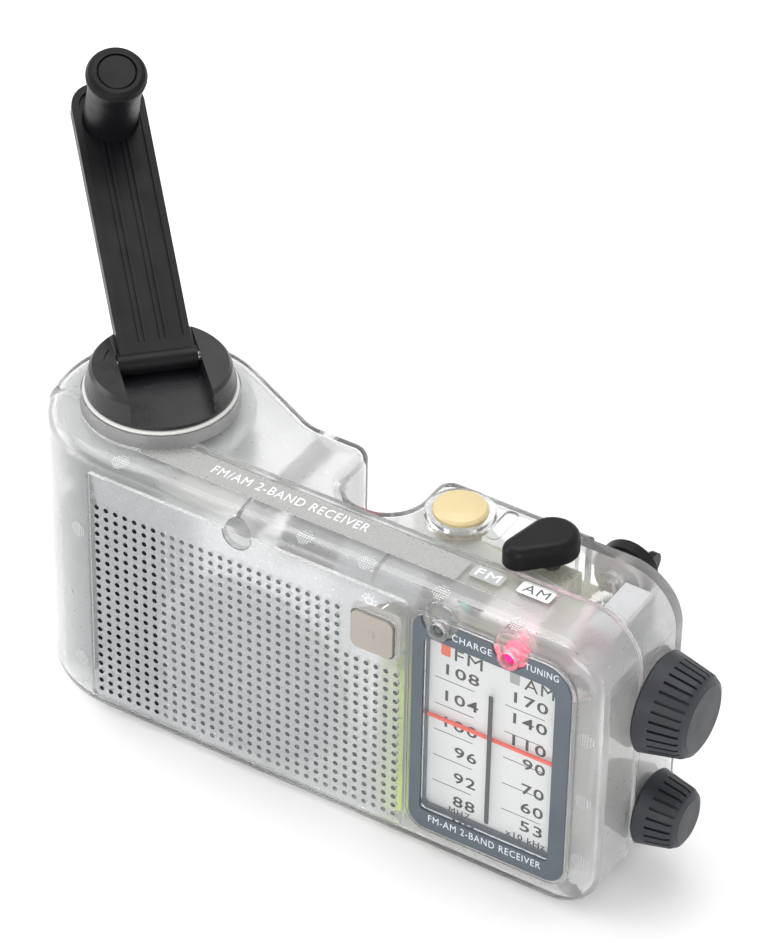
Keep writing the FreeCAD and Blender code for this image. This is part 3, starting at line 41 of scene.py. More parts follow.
CASE = "case"


# ---------------------------------------------------------------- node materials


def new_material(name):
    """A material with an empty node tree, its Principled shader and its output."""
    made = bpy.data.materials.new(name)
    made.use_nodes = True
    tree = made.node_tree
    tree.nodes.clear()
    out = tree.nodes.new("ShaderNodeOutputMaterial")
    shader = tree.nodes.new("ShaderNodeBsdfPrincipled")
    tree.links.new(shader.outputs[0], out.inputs[0])
    return made, tree, shader


def noise(tree, scale, detail=3.0, stretch=(1, 1, 1), distortion=0.0):
    """Noise in the frame's own metres; scale is in cells per metre."""
    place = tree.nodes.new("ShaderNodeTexCoord")
    mapping = tree.nodes.new("ShaderNodeMapping")
    mapping.inputs["Scale"].default_value = stretch
    texture = tree.nodes.new("ShaderNodeTexNoise")
    texture.inputs["Scale"].default_value = scale
    texture.inputs["Detail"].default_value = detail
    texture.inputs["Distortion"].default_value = distortion
    tree.links.new(place.outputs["Object"], mapping.inputs[0])
    tree.links.new(mapping.outputs[0], texture.inputs["Vector"])
    return texture


def ramp(tree, source, stops):
    """A colour ramp over a noise; stops are (position, grey or colour)."""
    node = tree.nodes.new("ShaderNodeValToRGB")
    while len(node.color_ramp.elements) < len(stops):
        node.color_ramp.elements.new(0.5)
    for element, (position, colour) in zip(node.color_ramp.elements, stops):
        element.position = position
        tone = (colour,) * 3 if isinstance(colour, float) else tuple(colour)
        element.color = tone + (1.0,)
    tree.links.new(source, node.inputs[0])
    return node


def bump(tree, shader, source, depth, strength=1.0, after=None):
    """Surface relief of a depth in metres."""
    node = tree.nodes.new("ShaderNodeBump")
    node.inputs["Distance"].default_value = depth
    node.inputs["Strength"].default_value = strength
    tree.links.new(source, node.inputs["Height"])
    if after is not None:
        tree.links.new(after.outputs[0], node.inputs["Normal"])
    tree.links.new(node.outputs[0], shader.inputs["Normal"])
    return node


def shade(colour, factor):
    return tuple(min(1.0, c * factor) for c in colour)


def plastic(name, colour, rough=0.45, grain=2200.0, relief=0.00002, vary=0.12, coat=0.0, level=0.5):
    """Moulded plastic: a fine spark-eroded grain, slight colour drift and uneven polish."""
    made, tree, shader = new_material(name)
    drift = noise(tree, 45.0, 4.0)
    tint = ramp(tree, drift.outputs[0], [(0.3, shade(colour, 1.0 - vary)), (0.7, shade(colour, 1.0 + vary))])
    tree.links.new(tint.outputs[0], shader.inputs["Base Color"])
    polish = noise(tree, 160.0, 5.0)
    gloss = ramp(tree, polish.outputs[0], [(0.25, max(0.02, rough - 0.07)), (0.75, min(1.0, rough + 0.08))])
    tree.links.new(gloss.outputs[0], shader.inputs["Roughness"])
    fine = noise(tree, grain, 2.0)
    bump(tree, shader, fine.outputs[0], relief)
    shader.inputs["Coat Weight"].default_value = coat
    shader.inputs["Coat Roughness"].default_value = 0.12
    shader.inputs["Specular IOR Level"].default_value = level
    return made


def metal(name, colour, rough=0.25, brush=(1, 1, 1), relief=0.000008, grain=1500.0):
    """Bare metal with drawn or turned lines along one direction."""
    made, tree, shader = new_material(name)
    shader.inputs["Metallic"].default_value = 1.0
    lines = noise(tree, grain, 3.0, brush)
    tint = ramp(tree, lines.outputs[0], [(0.2, shade(colour, 0.82)), (0.8, shade(colour, 1.08))])
    tree.links.new(tint.outputs[0], shader.inputs["Base Color"])
    gloss = ramp(tree, lines.outputs[0], [(0.2, rough * 0.7), (0.8, rough * 1.4)])
    tree.links.new(gloss.outputs[0], shader.inputs["Roughness"])
    bump(tree, shader, lines.outputs[0], relief)
    return made


SHADOW_TINT = 0.9
FROST_GRAIN = 900.0
CASE_HEIGHT = 0.085


def clear(name, colour, rough=0.06, ripple=0.00003, haze=0.0, painted_light_foot=None):
    """Clear polycarbonate with moulding ripple and haze; the foot colour, if given, is painted light: it is
    the colour at the bottom of the case, blended up into the top colour so the lower case is painted lighter.
    """
    made, tree, shader = new_material(name)
    shader.inputs["Base Color"].default_value = colour + (1.0,)
    # painted light and shade by height: the colour is lighter towards the bottom of the case and darker
    # towards the top
    if painted_light_foot is not None:
        place = tree.nodes.new("ShaderNodeTexCoord")
        split = tree.nodes.new("ShaderNodeSeparateXYZ")
        height = tree.nodes.new("ShaderNodeMapRange")
        height.inputs["From Max"].default_value = CASE_HEIGHT
        tree.links.new(place.outputs["Object"], split.inputs[0])
        tree.links.new(split.outputs["Z"], height.inputs["Value"])
        tint = ramp(tree, height.outputs[0], [(0.1, painted_light_foot), (0.9, colour)])
        tree.links.new(tint.outputs[0], shader.inputs["Base Color"])
    shader.inputs["Transmission Weight"].default_value = 1.0 - haze
    shader.inputs["IOR"].default_value = 1.46
    frosting = noise(tree, FROST_GRAIN, 3.0)
    gloss = ramp(tree, frosting.outputs[0], [(0.3, rough * 0.85), (0.75, rough * 1.2)])
    tree.links.new(gloss.outputs[0], shader.inputs["Roughness"])
    flow = noise(tree, 60.0, 2.0, (1, 1, 1.6), 0.4)
    bump(tree, shader, flow.outputs[0], ripple)
    out = next(n for n in tree.nodes if n.type == "OUTPUT_MATERIAL")
    path = tree.nodes.new("ShaderNodeLightPath")
    through = tree.nodes.new("ShaderNodeBsdfTransparent")
    through.inputs[0].default_value = shade(colour, SHADOW_TINT) + (1.0,)
    mix = tree.nodes.new("ShaderNodeMixShader")
    tree.links.new(path.outputs["Is Shadow Ray"], mix.inputs[0])
    tree.links.new(shader.outputs[0], mix.inputs[1])
    tree.links.new(through.outputs[0], mix.inputs[2])
    tree.links.new(mix.outputs[0], out.inputs[0])
    return made


def glowing(name, colour, strength):
    """A lit lamp: coloured resin that shines from inside."""
    made, tree, shader = new_material(name)
    shader.inputs["Base Color"].default_value = colour + (1.0,)
    shader.inputs["Roughness"].default_value = 0.2
    core = noise(tree, 500.0, 1.0)
    shine = ramp(tree, core.outputs[0], [(0.3, shade(colour, 0.8)), (0.7, shade(colour, 1.0))])
    tree.links.new(shine.outputs[0], shader.inputs["Emission Color"])
    shader.inputs["Emission Strength"].default_value = strength
    return made


def ringed(name, colour, centre):
    """Pressed paper with concentric ribs around an axis along Y; its colour is painted darker and lighter in
    bands along the ribs, as painted shade and light on them.
    """
    made, tree, shader = new_material(name)
    place = tree.nodes.new("ShaderNodeTexCoord")
    mapping = tree.nodes.new("ShaderNodeMapping")
    mapping.inputs["Location"].default_value = (-centre.x, 0.0, -centre.z)
    mapping.inputs["Scale"].default_value = (1, 0.0, 1)
    rings = tree.nodes.new("ShaderNodeTexWave")
    rings.wave_type = "RINGS"
    rings.rings_direction = "SPHERICAL"
    rings.inputs["Scale"].default_value = 110.0
    rings.inputs["Distortion"].default_value = 0.3
    tree.links.new(place.outputs["Object"], mapping.inputs[0])
    tree.links.new(mapping.outputs[0], rings.inputs["Vector"])
    # painted shade: colour bands that follow the ribs stand in for the light and shade on them
    tint = ramp(tree, rings.outputs["Fac"], [(0.1, shade(colour, 0.7)), (0.9, shade(colour, 1.25))])
    tree.links.new(tint.outputs[0], shader.inputs["Base Color"])
    shader.inputs["Roughness"].default_value = 0.7
    ribs = bump(tree, shader, rings.outputs["Fac"], 0.0002, 0.7)
    fibre = noise(tree, 1500.0, 3.0)
    bump(tree, shader, fibre.outputs[0], 0.00003, 1.0, after=ribs)
    return made


def board(name):
    """Printed circuit board: lacquered laminate with tracks."""
    made, tree, shader = new_material(name)
    weave = noise(tree, 700.0, 4.0, (1, 1, 0.15))
    tint = ramp(tree, weave.outputs[0], [(0.42, (0.34, 0.36, 0.25)), (0.5, (0.50, 0.49, 0.34)),
                                         (0.58, (0.30, 0.33, 0.22))])
    tree.links.new(tint.outputs[0], shader.inputs["Base Color"])
    shader.inputs["Roughness"].default_value = 0.35
    bump(tree, shader, weave.outputs[0], 0.00003)
    return made


BLACK = (0.0062, 0.0062, 0.0074)
SLATE = (0.078, 0.095, 0.115)
KNOB = (0.030, 0.032, 0.038)
MATERIALS = {
    "shell": clear("clear shell", (0.975, 0.98, 0.978), 0.05, 0.00004, haze=0.05),
    # painted light and shade: the frosted inside is painted darker grey high up and near white low down, by
    # height
    "shell_inside": clear("frosted inside with painted light by height", (0.64, 0.645, 0.64), 0.32, 0.00008, haze=0.26,
                          painted_light_foot=(0.97, 0.975, 0.97)),
    "panel": clear("clear panel", (0.93, 0.94, 0.94), 0.14, 0.00002, haze=0.1),
    "panel_milky": clear("milky panel", (0.84, 0.85, 0.86), 0.30, 0.00006, haze=0.26),
    # painted shade: the grille's hole walls are coloured darker grey so the holes read dark
    "painted_shade_hole_wall": clear("hole wall painted shade", (0.30, 0.31, 0.32), 0.18, 0.00002, haze=0.20),
    "hole_wall_dark": clear("hole wall painted shade before the dynamo", (0.022, 0.024, 0.028), 0.22, 0.00002, haze=0.5),
    "smoke": clear("smoked strip", (0.66, 0.66, 0.65), 0.3, 0.00001, haze=0.35),
    "pane": clear("dial pane", (0.99, 0.99, 0.99), 0.02, 0.00001),
    "black": plastic("black satin", BLACK, 0.38, 2600.0, 0.00003, 0.25, level=0.17),
    # painted light: the hub is the same black plastic as the arm, painted 1.5 times lighter as a lit copy for
    # its upward-facing top
    "hub_black_painted_lighter": plastic("hub satin painted lighter", shade(BLACK, 1.5), 0.30, 2600.0, 0.00003, 0.2, level=0.55),
    "slate": plastic("slate satin", SLATE, 0.42, 2400.0, 0.00002, 0.12),
    "knob": plastic("dark knob satin", KNOB, 0.45, 2400.0, 0.00002, 0.12, level=0.3),
    "nylon": plastic("white nylon", (0.80, 0.80, 0.77), 0.4, 1500.0, 0.00001, 0.05),
    "housing": plastic("dark housing", (0.05, 0.065, 0.085), 0.45),
    "cream": plastic("cream button", (0.62, 0.50, 0.26), 0.33, 1800.0, 0.00001, 0.04, coat=0.3),
    "tan": plastic("tan rubber", (0.36, 0.325, 0.29), 0.6, 1500.0, 0.00003, 0.06),
    "card": plastic("dial card", (0.70, 0.71, 0.71), 0.5, 1800.0, 0.000005, 0.02),
    "red": plastic("red pointer", (0.80, 0.07, 0.035), 0.35, 1500.0, 0.000005, 0.05),
    "cone": ringed("speaker paper with painted rib shade", (0.30, 0.30, 0.31), Vector((-14.0, 0.0, 32.7)) * MM),
    "cord": plastic("waxed cord", (0.70, 0.68, 0.60), 0.7, 1500.0, 0.0001, 0.1),
    "sleeve": plastic("cell sleeve", (0.62, 0.62, 0.60), 0.25, 400.0, 0.00003, 0.08, coat=0.4),
    "ferrite": plastic("ferrite", (0.035, 0.035, 0.038), 0.5, 900.0, 0.00005, 0.2),
    "steel": metal("plated steel", (0.62, 0.62, 0.60), 0.28),
    "chrome": metal("chrome", (0.86, 0.87, 0.88), 0.10, (3, 3, 0.2), 0.000002),
    "board": board("circuit board"),
    "lamp_on": glowing("lit lamp", (1.0, 0.0, 0.13), 1.6),
    "ink": plastic("dark ink", (0.022, 0.023, 0.025), 0.5, 2500.0, 0.000002, 0.15, level=0.2),
    "silver_ink": plastic("silver ink", (0.70, 0.73, 0.76), 0.45, 2500.0, 0.000002, 0.05),
    "pack": plastic("pack sleeve", (0.56, 0.80, 0.06), 0.3, 260.0, 0.00004, 0.4, coat=0.5),
    "coil": plastic("taped coil", (0.42, 0.43, 0.46), 0.5, 700.0, 0.0001, 0.12),
    "light_grey": plastic("light grey moulding", (0.46, 0.47, 0.48), 0.45, 1500.0, 0.00001, 0.08),
    "dark_lamp": plastic("dark lamp", (0.055, 0.062, 0.07), 0.15, 900.0, 0.000005, 0.1, coat=0.8),
    "bar_ink": plastic("grey bar ink", (0.085, 0.088, 0.092), 0.35, 2500.0, 0.000002, 0.1),
    "grey_ink": plastic("mid grey ink", (0.34, 0.35, 0.35), 0.45, 2500.0, 0.000002, 0.08),
    "orange_ink": plastic("orange ink", (0.80, 0.13, 0.035), 0.45, 2500.0, 0.000002, 0.06),
    "white_ink": plastic("white ink", (0.86, 0.88, 0.88), 0.5, 2500.0, 0.000002, 0.03),
    "pale_ink": plastic("pale ink", (0.40, 0.41, 0.41), 0.5, 2500.0, 0.000002, 0.05),
    "frosted_mark": plastic("moulded patch", (0.80, 0.82, 0.82), 0.35, 2500.0, 0.000004, 0.05),
    "teal": plastic("teal emitter", (0.02, 0.50, 0.36), 0.2, 900.0, 0.000005, 0.15, coat=0.6),
    "lead_red": plastic("red insulation", (0.55, 0.03, 0.025), 0.4, 900.0, 0.00002, 0.1),
    "lead_black": plastic("black insulation", (0.02, 0.02, 0.022), 0.4, 900.0, 0.00002, 0.1),
    "lead_white": plastic("white insulation", (0.75, 0.75, 0.72), 0.4, 900.0, 0.00002, 0.06),
    "lead_blue": plastic("blue insulation", (0.03, 0.09, 0.40), 0.4, 900.0, 0.00002, 0.1),
    "lead_green": plastic("green insulation", (0.04, 0.33, 0.10), 0.4, 900.0, 0.00002, 0.1),
    "lead_yellow": plastic("yellow insulation", (0.72, 0.55, 0.05), 0.4, 900.0, 0.00002, 0.1),
}
WEARS = {
    "shell": ("front_shell", "rear_shell", "button_collar", "battery_door"),
    "panel": ("grille_panel",),
    "pane": ("dial_window",),
    "hub_black_painted_lighter": ("crank_hub",),
    "black": ("crank_arm", "crank_grip", "grip_cap", "band_lever", "aerial_knuckle", "earphone_jack",
              "charging_jack"),
    "slate": ("dial_bezel",),
    "knob": ("tuning_knob", "volume_knob"),
    "nylon": ("crank_washer", "idler_gear", "tuning_shaft", "capacitor_gear", "cord_frame",
              "cord_pulley_top", "cord_pulley_bottom", "battery_tray"),
    "light_grey": ("drive_gear", "gearbox_top_plate", "tuning_capacitor"),
    "housing": ("dynamo_housing", "gearbox_bottom_plate"),
    "cream": ("top_button",),
    "tan": ("front_key",),
    "card": ("dial_card",),
    "red": ("pointer",),
    "pack": ("rechargeable_pack",),
    "cone": ("speaker_cone",),
    "cord": ("dial_cord",),
    "sleeve": ("battery_cell_1", "battery_cell_2", "battery_cell_3"),
    "ferrite": ("ferrite_rod",),
    "steel": ("case_screws", "speaker_basket", "volume_control", "battery_contacts", "crank_spindle",
              "crank_hinge_pin", "grip_axle", "dynamo_rotor", "aerial_swivel"),
    "chrome": ("aerial_tube_1", "aerial_tube_2", "aerial_tube_3", "aerial_tube_4"),
    "coil": ("ferrite_coil",),
    "board": ("main_board", "top_board", "lamp_board"),
    "dark_lamp": ("charge_lamp",),
    "lamp_on": ("tuning_lamp",),
}


def dress(node, made):
    node.data.materials.clear()
    node.data.materials.append(made)


for key, names in WEARS.items():
    for name in names:
        dress(NODES[name], MATERIALS[key])


HUB_AXIS = Vector((-59.0 * MM, 7.5 * MM))
BOSS_WALL = 20.5 * MM
BOSS_WALL_LOW = 84.2 * MM
FACE_LIFT = 0.05 * MM


def frost_inside(names, channel_centre, channel_radius):
    """Frost the faces that look into the case and the boss's wall; the grip's channel is outside."""
    trees = [BVHTree.FromObject(NODES[n], bpy.context.evaluated_depsgraph_get()) for n in names]
    for name in names:
        mesh = NODES[name].data
        mesh.materials.append(MATERIALS["shell_inside"])
        for face in mesh.polygons:
            start = face.center + face.normal * FACE_LIFT
            away = Vector((face.center.x, face.center.y)) - channel_centre
            in_channel = away.length < channel_radius or (abs(away.x) < channel_radius and away.y > 0)
            hit = any(tree.ray_cast(start, face.normal)[0] is not None for tree in trees)
            beside_hub = (Vector((face.center.x, face.center.y)) - HUB_AXIS).length
            on_boss = face.center.z > BOSS_WALL_LOW and abs(beside_hub - BOSS_WALL) < 0.4 * MM
            if (hit and not in_channel) or on_boss:
                face.material_index = 1


frost_inside(("front_shell", "rear_shell"), Vector((6.8 * MM, 10.5 * MM)), 10.7 * MM)


HOLES_TOP = 68.7 * MM
RIM = 0.3 * MM


def milky_holes():
    """Milky among the grille's holes, clear in the panel's margin and above them, with painted shade on the
    hole walls: they are coloured darker grey.

    The walls before the dynamo are near black, which stands in for the dark housing seen through them.
    """
    mesh = NODES["grille_panel"].data
    mesh.materials.append(MATERIALS["panel_milky"])
    mesh.materials.append(MATERIALS["painted_shade_hole_wall"])
    mesh.materials.append(MATERIALS["hole_wall_dark"])
    dynamo_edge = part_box("dynamo_housing")[1].x + 1.2 * MM
    low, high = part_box("grille_panel")
    for face in mesh.polygons:
        at_rim = (face.center.x < low.x + RIM or face.center.x > high.x - RIM
                  or face.center.z < low.z + RIM or face.center.z > high.z - RIM)
        corners = [mesh.vertices[i].co for i in face.vertices]
        in_margin = any(c.x < low.x + RIM or c.x > high.x - RIM for c in corners)
        above_holes = min(c.z for c in corners) > HOLES_TOP
        inside_hole = abs(face.normal.y) < 0.5 and not at_rim
        if inside_hole:
            # painted shade on the hole walls: darker grey, or near black before the dynamo
            face.material_index = 3 if face.center.x < dynamo_edge else 2
        elif not at_rim and not above_holes and not in_margin:
            face.material_index = 1


milky_holes()


# ---------------------------------------------------------------- added pieces

FRONTWARD = (Vector((1, 0, 0)), Vector((0, 0, 1)), Vector((0, -1, 0)))
UPWARD = (Vector((1, 0, 0)), Vector((0, 1, 0)), Vector((0, 0, 1)))
CARD_FACE = -18.5
WINDOW_FACE = -22.0
BEZEL_FACE = -22.75
STRIP_TOP = 83.6


def piece(name, parts, material, body=CASE, smooth=False):
    """One object from several (points, faces) parts given in millimetres."""
    points = []
    faces = []
    for part_points, part_faces in parts:
        first = len(points)
        points += [Vector(p) * MM for p in part_points]
        faces += [[first + i for i in face] for face in part_faces]
    mesh = bpy.data.meshes.new(name)
    mesh.from_pydata(points, [], faces)
    mesh.validate()
    for face in mesh.polygons:
        face.use_smooth = smooth
    mesh.materials.append(material)
    made = bpy.data.objects.new(name, mesh)
    bpy.context.scene.collection.objects.link(made)
    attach(made, body)
    return made


def typed(words, weight=0.0, spacing=1.0):
    """The outlines of some words as a flat mesh; weight thickens every stroke."""
    curve = bpy.data.curves.new("type", "FONT")
    curve.body = words
    curve.offset = weight
    curve.space_character = spacing
    curve.extrude = 0.008
    curve.resolution_u = 3
    holder = bpy.data.objects.new("type", curve)
    bpy.context.scene.collection.objects.link(holder)
    bpy.context.view_layer.update()
    mesh = bpy.data.meshes.new_from_object(holder.evaluated_get(bpy.context.evaluated_depsgraph_get()))
    points = [v.co.copy() for v in mesh.vertices]
    faces = [list(f.vertices) for f in mesh.polygons]
    bpy.data.objects.remove(holder)
    bpy.data.meshes.remove(mesh)
    bpy.data.curves.remove(curve)
    return points, faces


CAPITAL = max(p.y for p in typed("H")[0])


def lettering(words, cap, start, plane, width=None, from_right=False, turn=0.0, weight=0.0):
    """Words with a capital height cap whose baseline starts (or ends) at a point of a plane."""
    points, faces = typed(words, weight, 1.12)
    high = cap / CAPITAL
    left = min(p.x for p in points)
    right = max(p.x for p in points)
    wide = width / (right - left) if width else high * 1.12
    across, up, out = plane
    slope = Matrix.Rotation(math.radians(turn), 3, out)
    origin = Vector(start)
    placed = []
    for p in points:
        along = (p.x - (right if from_right else left)) * wide
        placed.append(origin + slope @ (across * along + up * p.y * high) + out * (p.z * high))
    return placed, faces


def slab(corners, plane, level, thickness):
    """A thin flat shape on a plane from its outline in that plane's two directions."""
    across, up, out = plane
    base = [across * x + up * y + out * level for x, y in corners]
    count = len(base)
    points = base + [p + out * thickness for p in base]
    faces = [list(range(count, 2 * count)), list(reversed(range(count)))]
    faces += [[i, (i + 1) % count, count + (i + 1) % count, count + i] for i in range(count)]
    return points, faces


def round_box(x0, y0, x1, y1, radius, steps=6):
    corners = []
    for cx, cy, start in ((x1 - radius, y1 - radius, 0), (x0 + radius, y1 - radius, 90),
                          (x0 + radius, y0 + radius, 180), (x1 - radius, y0 + radius, 270)):
        for i in range(steps + 1):
            angle = math.radians(start + 90.0 * i / steps)
            corners.append((cx + radius * math.cos(angle), cy + radius * math.sin(angle)))
    return corners


def smooth_path(points, steps=8):
    """A Catmull-Rom curve through some points."""
    ends = [Vector(points[0])] + [Vector(p) for p in points] + [Vector(points[-1])]
    path = []
    for a, b, c, d in zip(ends, ends[1:], ends[2:], ends[3:]):
        for i in range(steps):
            t = i / steps
            path.append(0.5 * (2 * b + (c - a) * t + (2 * a - 5 * b + 4 * c - d) * t * t
                               + (3 * b - a - 3 * c + d) * t ** 3))
    return path + [ends[-1]]


def thread(path, radius, sides=8):
    """A round thread along a path, closed at both ends."""
    points = []
    faces = []
    side = None
    for i, here in enumerate(path):
        ahead = path[min(i + 1, len(path) - 1)] - path[max(i - 1, 0)]
        ahead.normalize()
        if side is None:
            side = ahead.orthogonal().normalized()
        side = (side - ahead * side.dot(ahead)).normalized()
        other = ahead.cross(side)
        for k in range(sides):
            angle = 2 * math.pi * k / sides
            points.append(here + (side * math.cos(angle) + other * math.sin(angle)) * radius)
        if i:
            for k in range(sides):
                a = (i - 1) * sides + k
                b = (i - 1) * sides + (k + 1) % sides
                faces.append([a, b, b + sides, a + sides])
    faces.append(list(reversed(range(sides))))
    faces.append(list(range(len(points) - sides, len(points))))
    return points, faces


def lathe(profile, centre, axis, sides=32):
    """A profile of (radius, height) points turned about an axis through a centre."""
    axis = Vector(axis).normalized()
    side = axis.orthogonal().normalized()
    other = axis.cross(side)
    points = []
    faces = []
    for radius, height in profile:
        for k in range(sides):
            angle = 2 * math.pi * k / sides
            points.append(Vector(centre) + axis * height
                          + (side * math.cos(angle) + other * math.sin(angle)) * radius)
    for i in range(len(profile) - 1):
        for k in range(sides):
            a = i * sides + k
            b = i * sides + (k + 1) % sides
            faces.append([a, b, b + sides, a + sides])
    faces.append(list(reversed(range(sides))))
    faces.append(list(range(len(points) - sides, len(points))))
    return points, faces


FIRST_LINE = 56.4
LINE_PITCH = 8.52
FM_LINES = (39.7, 50.9)
AM_LINES = (59.6, 70.8)


BOLD = 0.012
THIN = -0.003


def dial_printing():
    """Scale lines and numbers on the card; the bar between the two scales is on the window."""
    dark = []
    level = -CARD_FACE
    for left, right in (FM_LINES, AM_LINES):
        for i in range(6):
            z = FIRST_LINE - LINE_PITCH * i
            dark.append(slab([(left, z - 0.11), (right, z - 0.11), (right, z + 0.11), (left, z + 0.11)],
                             FRONTWARD, level, 0.02))
    for i, number in enumerate(("108", "104", "100", "96", "92", "88")):
        rise = 2.7 if number == "88" else 2.0
        start = (FM_LINES[1] + 1.2, CARD_FACE, FIRST_LINE - LINE_PITCH * i + rise)
        dark.append(lettering(number, 3.2, start, FRONTWARD, 3.15 * len(number), True, weight=BOLD))
    dark.append(lettering("MHZ", 2.0, (FM_LINES[1], CARD_FACE, FIRST_LINE - LINE_PITCH * 5 - 0.2), FRONTWARD,
                          6.2, True))
    for line, rise, number in ((0, 2.0, "170"), (1, 3.8, "140"), (1, -3.4, "110"), (2, -1.0, "90"),
                               (3, -0.7, "70"), (4, 1.7, "60"), (5, 4.0, "53")):
        start = (AM_LINES[1] + 0.8, CARD_FACE, FIRST_LINE - LINE_PITCH * line + rise)
        dark.append(lettering(number, 3.2, start, FRONTWARD, 3.2 * len(number), True, weight=BOLD))
    dark.append(lettering("x10 kHz", 1.9, (AM_LINES[1] + 1.8, CARD_FACE, FIRST_LINE - LINE_PITCH * 5 + 0.4),
                          FRONTWARD, 11.4, True, weight=BOLD))
    dark.append(lettering("FM", 3.6, (45.0, CARD_FACE, FIRST_LINE + 7.4), FRONTWARD, 7.9))
    dark.append(lettering("AM", 3.6, (64.7, CARD_FACE, FIRST_LINE + 7.4), FRONTWARD, 8.4))
    piece("dial_lines_and_numbers", dark, MATERIALS["ink"])
    piece("dial_fm_mark", [slab(round_box(41.1, 64.1, 43.8, 68.4, 0.3), FRONTWARD, level, 0.02)],
          MATERIALS["orange_ink"])
    piece("dial_am_mark", [slab(round_box(60.6, 64.1, 63.4, 68.4, 0.3), FRONTWARD, level, 0.02)],
          MATERIALS["grey_ink"])
    piece("dial_middle_bar", [slab(round_box(56.65, 18.1, 57.95, 60.3, 0.6), FRONTWARD, -WINDOW_FACE, 0.03)],
          MATERIALS["bar_ink"])


def case_printing():
    """Pale lettering on the bezel and on the strip along the top."""
    white = [
        lettering("CHARGE", 2.0, (46.2, BEZEL_FACE, 73.5), FRONTWARD, 11.2, weight=THIN),
        lettering("TUNING", 2.0, (66.7, BEZEL_FACE, 73.9), FRONTWARD, 9.4, weight=THIN),
        lettering("FM-AM 2-BAND RECEIVER", 2.2, (41.0, BEZEL_FACE, 11.5), FRONTWARD, 32.6, weight=THIN),
    ]
    piece("bezel_lettering", white, MATERIALS["silver_ink"])
    smoke = [slab(round_box(-51.6, -13.4, 41.0, -4.9, 1.0), UPWARD, STRIP_TOP, 0.02)]
    piece("strip_tint", smoke, MATERIALS["smoke"])
    strip = [lettering("FM/AM 2-BAND RECEIVER", 3.1, (-32.3, -10.2, STRIP_TOP + 0.03), UPWARD, 45.4, turn=1.0,
                       weight=THIN)]
    piece("strip_lettering", strip, MATERIALS["white_ink"])
    piece("fm_box", [slab(round_box(42.6, -9.7, 51.4, -5.1, 0.8), UPWARD, STRIP_TOP, 0.03)],
          MATERIALS["pale_ink"])
    piece("am_box", [slab(round_box(55.4, -8.8, 64.7, -4.3, 0.8), UPWARD, STRIP_TOP, 0.03)],
          MATERIALS["white_ink"])
    piece("fm_box_letters", [lettering("FM", 2.9, (43.7, -8.8, STRIP_TOP + 0.03), UPWARD, 6.6)],
          MATERIALS["white_ink"])
    piece("am_box_letters", [lettering("AM", 2.9, (56.6, -7.9, STRIP_TOP + 0.03), UPWARD, 7.0)],
          MATERIALS["bar_ink"])


def light_marks():
    """A lamp sign above the front key: a ring with five rays and a slash beside it."""
    level = 21.3
    ring = []
    for i in range(24):
        a = 2 * math.pi * i / 24
        b = 2 * math.pi * (i + 1) / 24
        ring.append(slab([(21.6 + r * math.cos(t), 73.9 + r * math.sin(t))
                          for r, t in ((0.85, a), (1.15, a), (1.15, b), (0.85, b))], FRONTWARD, level, 0.03))
    for i in range(5):
        angle = math.radians(18.0 + 36.0 * i)
        x = 21.6 + 1.9 * math.cos(angle)
        z = 73.9 + 1.9 * math.sin(angle)
        dx = 0.35 * math.cos(angle)
        dz = 0.35 * math.sin(angle)
        ray = [(x - dx + dz * 0.4, z - dz - dx * 0.4), (x + dx + dz * 0.4, z + dz - dx * 0.4),
               (x + dx - dz * 0.4, z + dz + dx * 0.4), (x - dx - dz * 0.4, z - dz + dx * 0.4)]
        ring.append(slab(ray, FRONTWARD, level, 0.03))
    ring.append(slab([(25.2, 73.2), (25.5, 73.0), (27.4, 75.2), (27.1, 75.4)], FRONTWARD, level, 0.03))
    piece("key_sign", ring, MATERIALS["white_ink"])


def knurled_marks():
    """Round patches of small pyramids moulded on the inside of the case."""
    patches = []
    spots = [((x, -18.0, 82.1), UPWARD) for x in (-54.0, 1.0, 18.9, 40.2, 61.8)]
    spots += [((83.0, -19.75, z), FRONTWARD) for z in (57.0, 37.0, 17.5)]
    spots += [((-66.4, -19.75, 57.0), FRONTWARD), ((-66.4, -19.75, 14.0), FRONTWARD)]
    pitch = 0.66
    for spot, (across, up, out) in spots:
        for i in range(-3, 4):
            for k in range(-3, 4):
                if i * i + k * k > 10:
                    continue
                at = Vector(spot) + across * (pitch * i) + up * (pitch * k)
                half = pitch * 0.42
                base = [at + across * half, at + up * half, at - across * half, at - up * half]
                patches.append((base + [at + out * 0.3], [[0, 1, 4], [1, 2, 4], [2, 3, 4], [3, 0, 4],
                                                          [3, 2, 1, 0]]))
    piece("moulded_patches", patches, MATERIALS["frosted_mark"])


